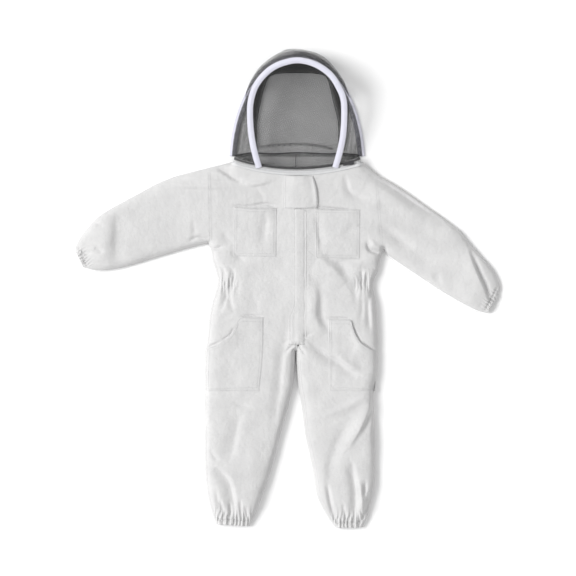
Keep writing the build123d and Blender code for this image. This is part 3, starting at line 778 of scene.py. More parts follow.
def coons(left, right, bottom, top, shares_u):
    """Grid inside four curves. left and right have a point a row, bottom and top one a column."""
    v = shares_of(len(left))[:, None, None]
    u = shares_u[None, :, None]
    ends = (1 - v) * bottom[None] + v * top[None]
    corners = (1 - v) * ((1 - u) * bottom[0] + u * bottom[-1]) + v * ((1 - u) * top[0] + u * top[-1])
    return ruled(left, right, shares_u) + ends - corners


def with_height(flat, height):
    """Places on the floor lifted to a height that depends on the place."""
    return np.dstack([flat, height(flat[..., 0], flat[..., 1])])


def shoulder_line(who):
    return np.linspace(mm(SHOULDER[who]), mm(NECK_CORNER[who]), 20)


def crotch_line(who):
    """From a side seam to the crotch."""
    return straight(mm(SIDE[who][0]), mm(CROTCH), panel_shares)


def front_flat(who):
    """The front of one side from its side seam to its zip edge, as places on the floor."""
    side_curve = side_and_armhole(who)
    edge_x = ZIP_EDGES[who]
    arc_angle = math.degrees(math.asin((edge_x - NECK_CENTRE[0]) / NECK_RADIUS))
    neckline = neck_arc(OUTWARD[who] * NECK_HALF_ANGLE, arc_angle, 40)
    top = smooth(np.vstack([shoulder_line(who)[:-1], neckline]), panel_shares)
    centre = np.array([mm(CROTCH), mm((8.0, -170)), (edge_x, -0.160), (edge_x, 0.0), top[-1]])
    along = lengths(centre)
    zip_curve = at_places(centre, along, shares_of(len(side_curve)) * along[-1])
    return coons(side_curve, zip_curve, crotch_line(who), top, panel_shares)


def lip(grid, step, depth, back):
    """Two more columns that turn a free edge under."""
    edge = grid[:, -1]
    turned = edge + (step, 0, -depth)
    under = edge + (-back, 0, -depth - 0.2 * MM)
    return np.concatenate([grid, turned[:, None], under[:, None]], axis=1)


def back_flat():
    """The whole back, from the crotch line to the neckline, as places on the floor."""
    across = np.concatenate([panel_shares / 2, 0.5 + (1 - panel_shares[::-1][1:]) / 2])
    bottom = np.vstack([crotch_line(RIGHT), crotch_line(LEFT)[::-1][1:]])
    neckline = neck_arc(-NECK_HALF_ANGLE, NECK_HALF_ANGLE, 60)
    top_line = np.vstack([shoulder_line(RIGHT)[:-1], neckline, shoulder_line(LEFT)[::-1][1:]])
    return coons(side_and_armhole(RIGHT), side_and_armhole(LEFT), bottom, smooth(top_line, across), across)


def tube(first, second, rows, shares):
    """Front and back of a sleeve or leg as one closed grid, ending in a turned hem."""
    first, second = (smooth(mm(seam), shares_of(rows)) for seam in (first, second))
    flat = ruled(first, second, shares)
    back = with_height(flat[:, 1:-1][:, ::-1], back_z)
    grid = np.concatenate([with_height(flat, front_z), back], axis=1)
    end = grid[-1]
    inward = unit((end.mean(axis=0) - end) * (1, 1, 0.5))
    backwards = unit((grid[-6] - end).mean(axis=0))
    turned = [end + inward * inside * MM + backwards * up * MM
              for inside, up in ((0.9, -0.5), (1.6, 2.0), (2.0, 14))]
    return np.concatenate([grid, turned], axis=0)


def cut_out():
    """All the cloth of the suit: the two fronts, the back, the sleeves and the legs."""
    shell = Shell()
    for who in SIDES:
        turn = -OUTWARD[who] * 0.5 * MM
        panel = lip(with_height(front_flat(who), front_z), turn, 1.6 * MM, turn * 14)
        shell.add(f"front_{who}_panel_cloth", panel, flip=who == LEFT)
    shell.add("back_panel_cloth", with_height(back_flat(), back_z), flip=True)
    grids = {}
    for who in SIDES:
        grids[who, "sleeve"] = tube(SLEEVE_TOP[who], SLEEVE_UNDER[who], SLEEVE_ROWS, 1 - arm_shares[::-1])
        grids[who, "leg"] = tube(LEG_OUTER[who], LEG_INNER[who], LEG_ROWS, panel_shares)
    for (who, limb), grid in grids.items():
        shell.add(f"{who}_{limb}_cloth", grid, flip=who == RIGHT, closed=True)
    shell.build(COTTON)
    return grids


limbs = cut_out()
TORSO = "torso"
HEM_ELASTICS = {"sleeve": ("cuff", slice(-20, -11, 2)), "leg": ("ankle", slice(-17, -10, 2))}


def elastic_loop(name, loop):
    """An elastic inside the hem of a sleeve or leg, shrunk away from the rows of cloth round it."""
    middle = loop.mean(axis=1, keepdims=True)
    return grid_object(name, middle + (loop - middle) * (0.96, 0.96, 0.72), ELASTIC, closed=True)


# Pieces that span two bodies, with the body each starts on, the one it ends on, and the two ends of the
# stretch between them
BENDS = {
    "right_sleeve": (TORSO, "right_sleeve", (-0.238, 0.218, 0.015), (-0.316, 0.204, 0.015)),
    "left_sleeve": (TORSO, "left_sleeve", (0.246, 0.200, 0.015), (0.318, 0.176, 0.015)),
    "right_leg": (TORSO, "right_leg", (-0.123, -0.182, 0.017), (-0.123, -0.275, 0.017)),
    "left_leg": (TORSO, "left_leg", (0.114, -0.182, 0.017), (0.114, -0.275, 0.017)),
    "storm_flap": (TORSO, "storm_flap", (0.0266, 0, 0.038), (0.0190, 0, 0.038)),
    "throat_flap": (TORSO, "throat_flap", (-0.0275, 0, 0.038), (-0.0150, 0, 0.038)),
    "front_hoop": ("hood", "front_hoop", (0, 0.323, 0.036), (0, 0.345, 0.044)),
}


def sew(obj, body, node=None):
    """Fix a piece to a body, or, for a body listed in BENDS, bake its place into its mesh and fix it to none;
    hide the CAD node it replaces.
    """
    if body in BENDS:
        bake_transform(obj)
    else:
        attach(obj, body)
    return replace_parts(obj, node) if node else obj


for node in ("front_right_panel", "front_left_panel", "back_panel"):
    sew(bpy.data.objects[f"{node}_cloth"], TORSO, node=node)
for (who, limb), grid in limbs.items():
    sew(bpy.data.objects[f"{who}_{limb}_cloth"], f"{who}_{limb}", node=f"{who}_{limb}")
    end, rows = HEM_ELASTICS[limb]
    loop = elastic_loop(f"{who}_{limb}_elastic_loop", grid[rows])
    sew(loop, f"{who}_{limb}", f"{who}_{end}_elastic")


def waist_elastic(who, x_from, x_to):
    """A flat elastic sewn under the front, below its lowest pucker."""
    x, y = np.meshgrid(np.linspace(x_from, x_to, 40) * MM, np.linspace(-11, 11, 8) * MM)
    grid = np.dstack([x, y, front_z(x, y) - 2.2 * MM])
    sew(grid_object(f"{who}_waist_elastic_band", grid, ELASTIC), TORSO, f"{who}_waist_elastic")


waist_elastic(RIGHT, -205, -150)
waist_elastic(LEFT, 152, 207)


# ---------------------------------------------------------------- threads, strips and tubes
STITCH, STITCH_GAP, THREAD_RADIUS = 2.9 * MM, 1.3 * MM, 0.34 * MM


def line_frames(points):
    """Unit directions along a line of 3-D points, and across it level with the floor."""
    along = unit(np.gradient(points, axis=0))
    across = np.stack([-along[:, 1], along[:, 0], np.zeros(len(along))], axis=1)
    return along, unit(across)


def spaced(points, step):
    """The same line with points every step metres, or a little less."""
    points = np.asarray(points, float)
    along = lengths(points)
    count = max(int(np.ceil(along[-1] / step)) + 1, 2)
    return at_places(points, along, np.linspace(0, along[-1], count))


def thread_object(name, threads):
    """Short threads, each from a to b, with its own sideways, upward and tip vectors and sunken ends."""
    points, faces = [], []
    for a, b, side, up, tip, sunk in threads:
        first = len(points)
        points += [a - tip - sunk, a + side, a + up, a - side, a - up,
                   b + side, b + up, b - side, b - up, b + tip - sunk]
        for k in range(4):
            n = (k + 1) % 4
            faces.append((first, first + 1 + n, first + 1 + k))
            faces.append((first + 1 + k, first + 1 + n, first + 5 + n, first + 5 + k))
            faces.append((first + 9, first + 5 + k, first + 5 + n))
    return make_object(name, points, faces, THREAD)


def stitches(name, lines, height, raised=0.25 * MM):
    """Rows of stitches that lie on the cloth. lines are lists of places on the floor."""
    threads = []
    up = np.array((0, 0, THREAD_RADIUS))
    for line in lines:
        path = spaced(line, (STITCH + STITCH_GAP) / 4)
        path = np.column_stack([path, height(path[:, 0], path[:, 1]) + raised])
        along, across = line_frames(path)
        for start in range(0, len(path) - 4, 4):
            threads.append((path[start], path[start + 3], across[start] * THREAD_RADIUS, up,
                            along[start] * THREAD_RADIUS, up * 0.8))
    return thread_object(name, threads)


def band(name, path, profile, material, up=(0, 0, 1)):
    """A band with a constant outline, swept along a line. profile is (across, up) pairs, all round."""
    up = np.broadcast_to(np.asarray(up, float), path.shape)
    across = unit(np.cross(up, line_frames(path)[0]))
    profile = np.asarray(profile, float)
    rings = path[:, None] + across[:, None] * profile[None, :, :1] + up[:, None] * profile[None, :, 1:]
    rows, columns = rings.shape[:2]
    faces = grid_faces(rows, columns, closed=True)
    faces.append(tuple(range(columns)))
    faces.append(tuple(range((rows - 1) * columns, rows * columns))[::-1])
    uv = np.stack(np.meshgrid(lengths(profile), lengths(path)), axis=-1).reshape(-1, 2)
    obj = make_object(name, rings.reshape(-1, 3), faces, material, uv=uv)
    face = obj.data.polygons[len(obj.data.polygons) // 2]
    middle = Vector(rings[rows // 2].mean(axis=0))
    if (face.center - middle).dot(face.normal) < 0:
        obj.data.flip_normals()
    return obj


def flat_profile(width, thick, bulge=0.0, count=7):
    """Outline of a tape: flat underneath, slightly crowned on top."""
    u = np.linspace(-1, 1, count)
    top = [(w * width / 2, thick / 2 + bulge * (1 - w * w)) for w in u]
    low = [(w * width / 2, -thick / 2) for w in u[::-1]]
    return top + low


def join(objects):
    """Several made objects as one, under the name of the first."""
    with bpy.context.temp_override(active_object=objects[0], selected_editable_objects=objects):
        bpy.ops.object.join()
    return objects[0]


# ---------------------------------------------------------------- pockets
# Corners of the chest pockets as seen from in front: lower left, lower right, upper right, upper left
CHEST_POCKETS = {
    RIGHT: [(-168, 79), (-51, 77), (-49.5, 212), (-167, 214.5)],
    LEFT: [(57, 74), (178, 71.5), (179, 207), (55, 209)],
}
# Edges of the hip pockets: along the side seam, along the inner side, and the mouth between them
HIP_POCKETS = {
    RIGHT: ([(-246, -291), (-246, -230), (-243.5, -176)],
            [(-98, -291.5), (-88, -190), (-86, -88)],
            [(-243.5, -176), (-222, -168), (-198, -158), (-177, -139), (-161, -114), (-151, -89),
             (-118, -87.5), (-86, -88)]),
    LEFT: ([(220, -291), (222, -240), (225, -183)],
           [(94, -291), (93, -190), (91, -94)],
           [(225, -183), (204, -174), (182, -159), (167, -137), (158, -112), (152, -96),
            (124, -94), (91, -94)]),
}


def pocket_lift(u, v, gape, belly):
    """Height of a pocket above the suit, u across and v up to the mouth, both from 0 to 1."""
    full = 1 - np.exp(-np.minimum(np.minimum(u, 1 - u), v * 1.1) / 0.10)
    mouth = np.sin(np.pi * u) ** 0.8 * smoothstep(v, 0.55, 1)
    return 0.3 * MM + belly * full * (1 - 0.3 * v) + gape * mouth


def skirt_grid(grid):
    """Add a border that turns down to the suit's cloth round the sewn sides, and a hem at the mouth."""
    middle = grid[..., :2].reshape(-1, 2).mean(axis=0)

    def lowered(line):
        out = line[:, :2] + unit(line[:, :2] - middle) * 0.8 * MM
        return np.column_stack([out, front_z(out[:, 0], out[:, 1]) - 0.4 * MM])

    hem = grid[-1] - (0, 0, 1.1 * MM)
    turned = grid[-4] - (0, 0, 1.3 * MM)
    grid = np.concatenate([lowered(grid[0])[None], grid, hem[None], turned[None]], axis=0)
    left, right = lowered(grid[:, 0]), lowered(grid[:, -1])
    return np.concatenate([left[:, None], grid, right[:, None]], axis=1)


def pocket(name, left, right, bottom, top, gape, belly, seed):
    """A patch pocket inside four curves. Its left and right curves run up, the others run across."""
    up, over = shares_of(64), shares_of(60)
    flat = coons(smooth(mm(left), up), smooth(mm(right), up), smooth(mm(bottom), over),
                 smooth(mm(top), over), over)
    x, y = flat[..., 0], flat[..., 1]
    u, v = np.meshgrid(over, up)
    wobble = value_noise(x, y, 0.045, seed) * 0.9 * MM + value_noise(x, y, 0.016, seed + 1) * 0.35 * MM
    inner = smoothstep(np.minimum(np.minimum(u, 1 - u), v), 0.0, 0.12)
    z = front_z(x, y) + pocket_lift(u, v, gape, belly) + wobble * inner
    return grid_object(name, skirt_grid(np.dstack([flat, z])), COTTON), flat, z


def inset(flat, i, j, top_too):
    """Line round the sewn sides of a pocket, i rows and j columns inside its edge."""
    rows, columns = flat.shape[:2]
    line = [flat[rows - 1 - k, j] for k in range(rows - i)]
    line += [flat[i, k] for k in range(j + 1, columns - j)]
    line += [flat[k, columns - 1 - j] for k in range(i + 1, rows)]
    if top_too:
        return [np.array(line), flat[rows - 1 - i * 4, j:columns - j], flat[rows - 1 - i, j:columns - j]]
    return [np.array(line)]


def surface_of(flat, z):
    """Height of a made piece at any place, from its nearest grid points."""
    place, height = flat.reshape(-1, 2), z.ravel()

    def height_at(x, y):
        result = []
        for px, py in zip(x.ravel(), y.ravel()):
            d = (place[:, 0] - px) ** 2 + (place[:, 1] - py) ** 2
            near = np.argpartition(d, 3)[:4]
            weight = 1 / (d[near] + 1e-9)
            result.append((height[near] * weight).sum() / weight.sum())
        return np.reshape(result, x.shape)

    return height_at


def sew_pocket(name, body, edges, gape, belly, seed, second_row):
    """Make a pocket, sew it on, and add its rows of stitches."""
    obj, flat, z = pocket(f"{name}_cloth", *edges, gape, belly, seed)
    sew(obj, body, node=name)
    rows_of_thread = inset(flat, 1, 1, True) + inset(flat, *second_row, False)
    sew(stitches(f"{name}_stitches", rows_of_thread, surface_of(flat, z)), body)


for who, gape, droop in ((RIGHT, 5.0 * MM, 3.5), (LEFT, 2.2 * MM, 1.0)):
    low_left, low_right, up_right, up_left = CHEST_POCKETS[who]
    sag = ((up_left[0] + up_right[0]) / 2, (up_left[1] + up_right[1]) / 2 - droop)
    edges = [low_left, up_left], [low_right, up_right], [low_left, low_right], [up_left, sag, up_right]
    sew_pocket(f"{who}_chest_pocket", TORSO, edges, gape, 1.6 * MM, 71, (4, 4))

for who in SIDES:
    side, inner, mouth = HIP_POCKETS[who]
    edges = (side, inner, [side[0], inner[0]], mouth)
    if who == LEFT:
        edges = (inner, side, [inner[0], side[0]], mouth[::-1])
    sew_pocket(f"{who}_hip_pocket", f"{who}_leg", edges, 3.4 * MM, 1.2 * MM, 81, (3, 3))


# ---------------------------------------------------------------- seams of the suit
def offset_line(line, distance):
    """A line moved sideways on the floor."""
    _, across = line_frames(np.column_stack([line, np.zeros(len(line))]))
    return line + across[:, :2] * distance


def cuff_rows(who, limb, width, count, lifts):
    """Rows across the end of a sleeve or leg, some way up from its hem."""
    middle, across, half = cuff_frame(who, limb)
    back = np.array((across[1], -across[0]))
    back *= np.sign(back[1]) if limb == "leg" else -np.sign(back[0]) * OUTWARD[who]
    line = np.linspace(middle - across * half * width, middle + across * half * width, count)
    return [line + back * lift * MM for lift in lifts]


def seam_line(seam, start, end):
    return smooth(mm(seam), shares_of(80))[start:end]


for who in SIDES:
    side = OUTWARD[who]
    armhole = np.linspace(mm(SIDE[who][-1]), mm(SHOULDER[who]), 60)[2:-2]
    inner = seam_line(LEG_INNER[who], 4, -2)
    outer = seam_line(LEG_OUTER[who], 34, -2)
    under = seam_line(SLEEVE_UNDER[who], 3, -3)
    side_seam = seam_line(SIDE[who], 2, -2)
    rows_of_thread = {
        "armhole": [offset_line(armhole, side * 2.2 * MM), offset_line(armhole, side * 8.0 * MM)],
        "leg": [offset_line(inner, side * 5.5 * MM), offset_line(inner, side * 10.5 * MM),
                offset_line(outer, -side * 5.0 * MM), *cuff_rows(who, "leg", 0.97, 40, (11.0, 15.0))],
        "sleeve": [*cuff_rows(who, "sleeve", 0.95, 30, (9.0, 12.5)), offset_line(under, -side * 4.0 * MM)],
        "side": [offset_line(side_seam, side * 4.5 * MM)],
    }
    for place, lines in rows_of_thread.items():
        body = f"{who}_{place}" if place in LIMB_SEAMS else TORSO
        sew(stitches(f"{who}_{place}_stitches", lines, front_z), body)


# ---------------------------------------------------------------- zips and flaps of the front
# Outline of one zip tooth: shares of the coil's width outwards, and of the tooth's length along
TOOTH = [(-0.12, 0), (0.12, 0.62), (0.5, 0.5), (0.5, -0.5), (0.12, -0.62)]


def coil(name, path, width, thick, pitch):
    """Zip teeth: two rows of small loops that mesh along the middle of a line."""
    path = spaced(path, pitch)
    along, across = line_frames(path)
    up = np.array((0, 0, thick))
    count = len(TOOTH)
    ring = list(range(count))
    points, faces = [], []
    for p, a, c in zip(path, along * pitch, across * width):
        for side in (-1, 1):
            start = p + a * 0.25 * side
            first = len(points)
            for high, length in ((-0.5, 0.36), (0.5, 0.288)):
                points += [start + c * side * u + a * w * length + up * high for u, w in TOOTH]
            order = ring if side == 1 else ring[::-1]
            faces.append(tuple(first + k for k in order))
            faces.append(tuple(first + count + k for k in order[::-1]))
            for k in ring:
                n = (k + 1) % count
                quad = (first + k, first + count + k, first + count + n, first + n)
                faces.append(quad if side == 1 else quad[::-1])
    return make_object(name, points, faces, COIL, smooth_shading=False)


zip_line = np.column_stack([np.full(2, ZIP_X), mm([-158.5, 299.0]), np.full(2, 32.4 * MM)])
teeth = coil("main_zip_teeth", zip_line, 5.4 * MM, 2.0 * MM, 2.4 * MM)
sew(teeth, TORSO, "main_zip_coil")

for who in SIDES:
    tape_x = ZIP_X + OUTWARD[who] * 8.7 * MM
    tape_line = np.column_stack([np.full(60, tape_x), np.linspace(-0.1595, 0.3010, 60), np.full(60, 0.0308)])
    tape = band(f"main_zip_{who}_weave", tape_line, flat_profile(16.4 * MM, 0.8 * MM), ZIP_TAPE)
    sew(tape, TORSO, f"main_zip_{who}_tape")


def flap(name, x_line, y_from, y_to, height, seed, rows_of_thread):
    """Make a flap with a rounded edge over the fronts, sew it on, and return the height of its cloth."""
    rows, columns = 90, 26
    u, v = shares_of(columns)[None, :], shares_of(rows)[:, None]
    x = x_line(v, u)
    y = np.broadcast_to((y_from + (y_to - y_from) * v) * MM, x.shape)
    top = height(x, y, u, v) + 0.35 * MM * value_noise(x, y, 0.03, seed) * np.sin(np.pi * v)
    edge = np.minimum(np.minimum(u, 1 - u) * columns, np.minimum(v, 1 - v) * rows)
    round_off = 0.55 * MM * np.exp(-edge / 0.8)
    upper = np.dstack([x, y, top - round_off])
    lower = np.dstack([x, y, top - 1.1 * MM + round_off * 0.6])
    sew(slab(f"{name}_cloth", upper, lower, COTTON), name, node=name)
    flat = np.dstack([x, y])
    cloth_at = surface_of(flat, top)
    sew(stitches(f"{name}_stitches", [flat[place] for place in rows_of_thread], cloth_at), name)
    return cloth_at


def storm_height(x, y, u, v):
    """Arched over the zip, and down to the cloth at both edges."""
    over_zip = (zip_rise(x, y) - beside_zip(x, y)) * smoothstep(v, 0.0, 0.035)
    cloth = front_z(x, y) + over_zip + 0.7 * MM
    arch = 40.4 * MM
    out = np.where(x < ZIP_X, (ZIP_X - x) / (10.7 * MM), (x - ZIP_X) / (16.6 * MM))
    share = (1 - np.clip(out, 0, 1) ** 1.6) * smoothstep(v, 0.0, 0.035)
    seam = 1.35 * MM * np.exp(-(((u - 0.10) / 0.030) ** 2)) + 0.35 * MM * smoothstep(u, 0.88, 1.0)
    hem = 0.7 * MM * (1 - smoothstep(u, 0.15, 0.5))
    return np.maximum(cloth * (1 - share) + arch * share, cloth) + hem - seam


def storm_x(v, u):
    """The free edge swings to the wearer's right near the crotch."""
    drift = -15.0 * MM * smoothstep(0.32 - v, 0, 0.14) * (1 - u)
    return -3.3 * MM + 29.9 * MM * u + drift


def throat_x(v, u):
    """The free edge bulges out below its upper corner."""
    bow = (14.0 * (1 - v) ** 0.8 + 3.0 * np.sin(np.pi * v)) * MM * u**2
    return -30.4 * MM + 79.9 * MM * u + bow


def throat_height(x, y, u, v):
    """Flat on the cloth at its edges, and over the zip's pull in its middle."""
    cloth = front_z(x, y) + 0.6 * MM + 0.6 * MM * smoothstep(v, 0, 0.08)
    over = smoothstep(u, 0.0, 0.40) * (1 - smoothstep(u, 0.58, 1.0))
    gape = 3.4 * MM * smoothstep(u, 0.86, 1.0) * np.sin(np.pi * v) ** 0.7
    return cloth + np.maximum(40.9 * MM - cloth, 0) * over + gape


def patch(name, height, node, body):
    """A strip of hook-and-loop tape that lies along a surface."""
    x, y = np.meshgrid(np.linspace(32.5, 47.5, 9) * MM, np.linspace(219.5, 286.5, 30) * MM)
    top = height(x, y)
    obj = slab(name, np.dstack([x, y, top]), np.dstack([x, y, top - 1.0 * MM]), HOOK_AND_LOOP)
    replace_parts(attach(obj, body), node)


def facing(name, x, y_low, y_high):
    """The folded strip that a flap is sewn to."""
    x, y = np.full(60, x * MM), np.linspace(y_low, y_high, 60) * MM
    path = np.column_stack([x, y, front_z(x, y) + 0.1 * MM])
    profile = mm([(-2.9, -1.2), (-2.5, 0.1), (-1.2, 0.3), (1.2, 0.3), (2.5, 0.1), (2.9, -1.2)])
    fold = band(f"{name}_fold", path, profile, COTTON, up=np.cross(*line_frames(path)))
    sew(fold, TORSO, node=f"{name}_facing")


FLAP_SIDE, FLAP_END = slice(2, -2), slice(1, -1)
flap("storm_flap", storm_x, -164, 209.4, storm_height, 91, [(slice(3, -2), 3)])
throat_at = flap("throat_flap", throat_x, 210, 300, throat_height, 95,
                 [(FLAP_SIDE, 1), (FLAP_SIDE, 24), (3, FLAP_END), (-4, FLAP_END)])
patch("throat_loop_tape", lambda x, y: front_z(x, y) + 1.2 * MM, "throat_loop_patch", TORSO)
patch("throat_hook_tape", lambda x, y: throat_at(x, y) - 1.5 * MM, "throat_hook_patch", "throat_flap")
facing("storm_flap", 29.2, -150, 204)
facing("throat_flap", -31.0, 211, 298)


# ---------------------------------------------------------------- neckline
def neck_path(radius, reach, above, count=150):
    """Line along the neckline that lies on the suit's front, and drops with it at the corners."""
    angles = np.linspace(-reach, reach, count)
    x, y = neck_xy(radius, angles)
    base = front_z(*neck_xy(np.full(count, NECK_RADIUS + 0.001), angles))
    drop = smoothstep(np.abs(angles), NECK_FLAT_ANGLE, NECK_HALF_ANGLE)
    level = 33.4 * MM * (1 - drop) + base * drop
    return np.column_stack([x, y, level + above])


BINDING_PROFILE = mm([(-4.4, -1.6), (-4.2, 0.0), (-2.6, 0.5), (0, 0.65), (2.6, 0.7), (4.1, 0.3),
                      (4.4, -1.6)])
# Zip tapes along the neckline: radius, reach to both sides in degrees, height, size, material, body
NECK_TAPES = {
    "neck_zip_lower": (581.6, 17.6, -2.0, (8.0, 0.7), ZIP_TAPE, TORSO),
    "neck_zip_upper": (572.2, 17.6, -1.2, (7.0, 0.8), DARK_TAPE, "hood"),
}
binding = band("neck_binding_tape", neck_path(588.6 * MM, 18.0, 0.9 * MM), BINDING_PROFILE, BINDING)
back_arc = neck_arc(-NECK_HALF_ANGLE, NECK_HALF_ANGLE, 120, 588 * MM)
back_binding = band("back_neck_tape", np.column_stack([back_arc, np.full(120, 3.4 * MM)]),
                    flat_profile(7 * MM, 1.2 * MM), BINDING)
sew(join([binding, back_binding]), TORSO, "neck_binding")
neck_threads = stitches("neck_binding_stitches",
                        [neck_arc(-17.4, 17.4, 300, radius * MM) for radius in (586.6, 591.8)],
                        lambda x, y: front_z(x, y) + 1.3 * MM)
sew(neck_threads, TORSO)
for name, (radius, reach, above, size, material, body) in NECK_TAPES.items():
    tape = band(f"{name}_weave", neck_path(radius * MM, reach, above * MM), flat_profile(*mm(size)), material)
    sew(tape, body, f"{name}_tape")
neck_teeth = coil("neck_zip_teeth", neck_path(578.5 * MM, 17.4, -0.7 * MM, 300), 4.6 * MM, 1.7 * MM,
                  2.2 * MM)
sew(neck_teeth, TORSO, "neck_zip_coil")
upper_threads = stitches("neck_zip_upper_stitches", [neck_arc(-16.9, 16.9, 300, 570.6 * MM)],
                         lambda x, y: np.full(len(x), 32.7 * MM))
sew(upper_threads, "hood")


# ---------------------------------------------------------------- hoops of the hood
HOOD_X = 6.0 * MM
FRONT_FOOT = mm((338.0, 42.0))
FRONT_TILT = math.radians(17)
FRONT_HALF_WIDTH, FRONT_WAIST = 129.8 * MM, 144.5 * MM
FRONT_TOP_RADIUS, FRONT_LOW_RADIUS = 142.6 * MM, 272.0 * MM
REAR_CENTRE_Y, REAR_HALF_WIDTH, REAR_HEIGHT = 330.0 * MM, 177.5 * MM, 295.5 * MM
REAR_FOOT_Y = 354.0 * MM
TAPE_HALF = 9.5 * MM
FRONT_TAPE_HALF = 8.5 * MM
FRONT_FOOT_ANGLE = -math.degrees(math.asin(FRONT_WAIST / FRONT_LOW_RADIUS))
REAR_FOOT_ANGLE = math.degrees(math.asin((REAR_FOOT_Y - REAR_CENTRE_Y) / REAR_HEIGHT))
FRONT_UP = np.array((0, -math.sin(FRONT_TILT), math.cos(FRONT_TILT)))


def front_plane(x, v, above=0.0):
    """Point of the tilted plane of the front hoop, v measured up from its feet."""
    y = FRONT_FOOT[0] + v * math.cos(FRONT_TILT) - above * math.sin(FRONT_TILT)
    z = FRONT_FOOT[1] + v * math.sin(FRONT_TILT) + above * math.cos(FRONT_TILT)
    return np.stack(np.broadcast_arrays(x, y, z), axis=-1)


def front_hoop(angle, out=0.0, above=0.0):
    """Point of the front hoop: angle in degrees, 0 at the wearer's left, 90 at the crown."""
    a = np.radians(angle)
    tall = np.where(np.sin(a) >= 0, FRONT_TOP_RADIUS, FRONT_LOW_RADIUS)
    x = HOOD_X + (FRONT_HALF_WIDTH + out) * np.cos(a)
    return front_plane(x, FRONT_WAIST + (tall + out) * np.sin(a), above)


def rear_hoop(angle, out=0.0, z=3.0 * MM):
    """Point of the rear hoop, which lies level, by the same angles."""
    a = np.radians(angle)
    x = HOOD_X + (REAR_HALF_WIDTH + out) * np.cos(a)
    y = REAR_CENTRE_Y + (REAR_HEIGHT + out) * np.sin(a)
    return np.stack(np.broadcast_arrays(x, y, z), axis=-1)


def casing_profile(half, wire, edge):
    """Tape folded over a wire: fuller in the middle, thin and stitched at both edges."""
    across = np.linspace(-half, half, 15)
    top = edge + (wire - edge) * np.exp(-((across / (half * 0.62)) ** 2))
    shaped = top * (1 - 0.7 * (np.abs(across) / half) ** 10)
    return list(zip(across, shaped)) + list(zip(across[::-1], -shaped[::-1]))


def hoop_threads(name, path, up, half):
    """A row of stitches near each edge of a casing."""
    up = np.array(up, float)
    across = unit(np.cross(up, unit(np.gradient(path, axis=0))))
    threads = []
    for side in (-1, 1):
        line = spaced(path + across * side * half + up * MM, (STITCH + STITCH_GAP) / 4)
        for start in range(0, len(line) - 4, 4):
            a, b = line[start], line[start + 3]
            direction = unit(b - a)
            wide = np.cross(up, direction) * THREAD_RADIUS
            threads.append((a, b, wide, up * THREAD_RADIUS, direction * THREAD_RADIUS, 0))
    return thread_object(name, threads)


front_angles = np.linspace(FRONT_FOOT_ANGLE, 180 - FRONT_FOOT_ANGLE, 220)
rear_angles = np.linspace(REAR_FOOT_ANGLE, 180 - REAR_FOOT_ANGLE, 220)


def front_tape_line():
    """The front hoop's line, uneven by hand, with its tape sewn on down to the neckline."""
    hoop = front_hoop(front_angles, 0.9 * MM * value_noise(front_angles / 15, front_angles * 0, 1, 171))
    ends = []
    for foot, near in ((hoop[0], hoop[1]), (hoop[-1], hoop[-2])):
        far = foot + unit(foot - near) * 17 * MM
        far[2] = 35.2 * MM
        ends.append(np.linspace(far, foot, 8, endpoint=False))
    return np.vstack([ends[0], hoop, ends[1][::-1]])


def hoop_tape(hoop, body, path, up, half, stitch_half):
    """The tape folded over the wire of a hoop, with its stitches."""
    casing = band(f"{hoop}_tape", path, casing_profile(half, 2.6 * MM, 1.0 * MM), HOOP_TAPE, up=up)
    sew(casing, body, f"{hoop}_casing")
    sew(hoop_threads(f"{hoop}_stitches", path, up, stitch_half), body)


hoop_tape("front_hoop", "front_hoop", front_tape_line(), FRONT_UP, FRONT_TAPE_HALF, 7.1 * MM)
hoop_tape("rear_hoop", "hood", rear_hoop(rear_angles, z=3.1 * MM), (0, 0, 1), TAPE_HALF, 8.0 * MM)


# ---------------------------------------------------------------- veil
def net_object(name, grid, flip=False, lean=0.0, rolled=False):
    """A piece of netting. Its threads run with the floor, turned by lean degrees, or round a rolled one."""
    if rolled:
        down = np.linalg.norm(np.diff(grid, axis=1), axis=2).mean(axis=0)
        round_it = np.linalg.norm(np.diff(grid, axis=0), axis=2).mean(axis=1)
        across, along = (np.concatenate([[0], np.cumsum(steps)]) for steps in (down, round_it))
        uv = np.stack(np.meshgrid(across, along), axis=-1).reshape(-1, 2)
    else:
        turn = math.radians(lean)
        x, y = grid[..., 0].ravel(), grid[..., 1].ravel()
        uv = np.column_stack([x * math.cos(turn) - y * math.sin(turn),
                              x * math.sin(turn) + y * math.cos(turn)])
    return grid_object(name, grid, VEIL, uv=uv, flip=flip)


VEIL_RADIUS = 573.2 * MM     # lower edge of the netting along the neckline


def face_veil():
    """From the neck zip up to the hoop's feet, then across the hoop to its crown."""
    low_rows, rows, columns = 8, 90, 70
    over = np.linspace(-1, 1, columns)
    inner = TAPE_HALF * 0.4
    foot_half = front_hoop(FRONT_FOOT_ANGLE, -inner)[0] - HOOD_X
    foot_v = (front_hoop(FRONT_FOOT_ANGLE, -inner)[1] - FRONT_FOOT[0]) / math.cos(FRONT_TILT)
    foot_line = front_plane(HOOD_X + over * foot_half, foot_v)
    reach = math.degrees(math.asin(foot_half / VEIL_RADIUS))
    x, y = neck_xy(VEIL_RADIUS, over * reach)
    neck_line = np.column_stack([x, y, np.full(columns, 33.6 * MM)])
    t = np.linspace(0, 1, low_rows, endpoint=False)[:, None, None]
    lower = neck_line * (1 - t) + foot_line * t
    angles = np.linspace(FRONT_FOOT_ANGLE, 90, rows)
    left = front_hoop(180 - angles, -inner)
    right = front_hoop(angles, -inner)
    grid = np.concatenate([lower, ruled(left, right, (over + 1) / 2)], axis=0)
    x, y = grid[..., 0], grid[..., 1]
    edge = smoothstep(y, 0.322, 0.36) * (1 - np.abs(over) ** 6)
    sag = value_noise(x, y, 0.07, 101) * 1.6 * MM - 1.5 * MM
    grid = grid + FRONT_UP * (sag * edge)[..., None]
    obj = net_object("face_veil_net", grid, lean=32)
    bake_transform(obj)
    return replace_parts(obj, "face_veil")


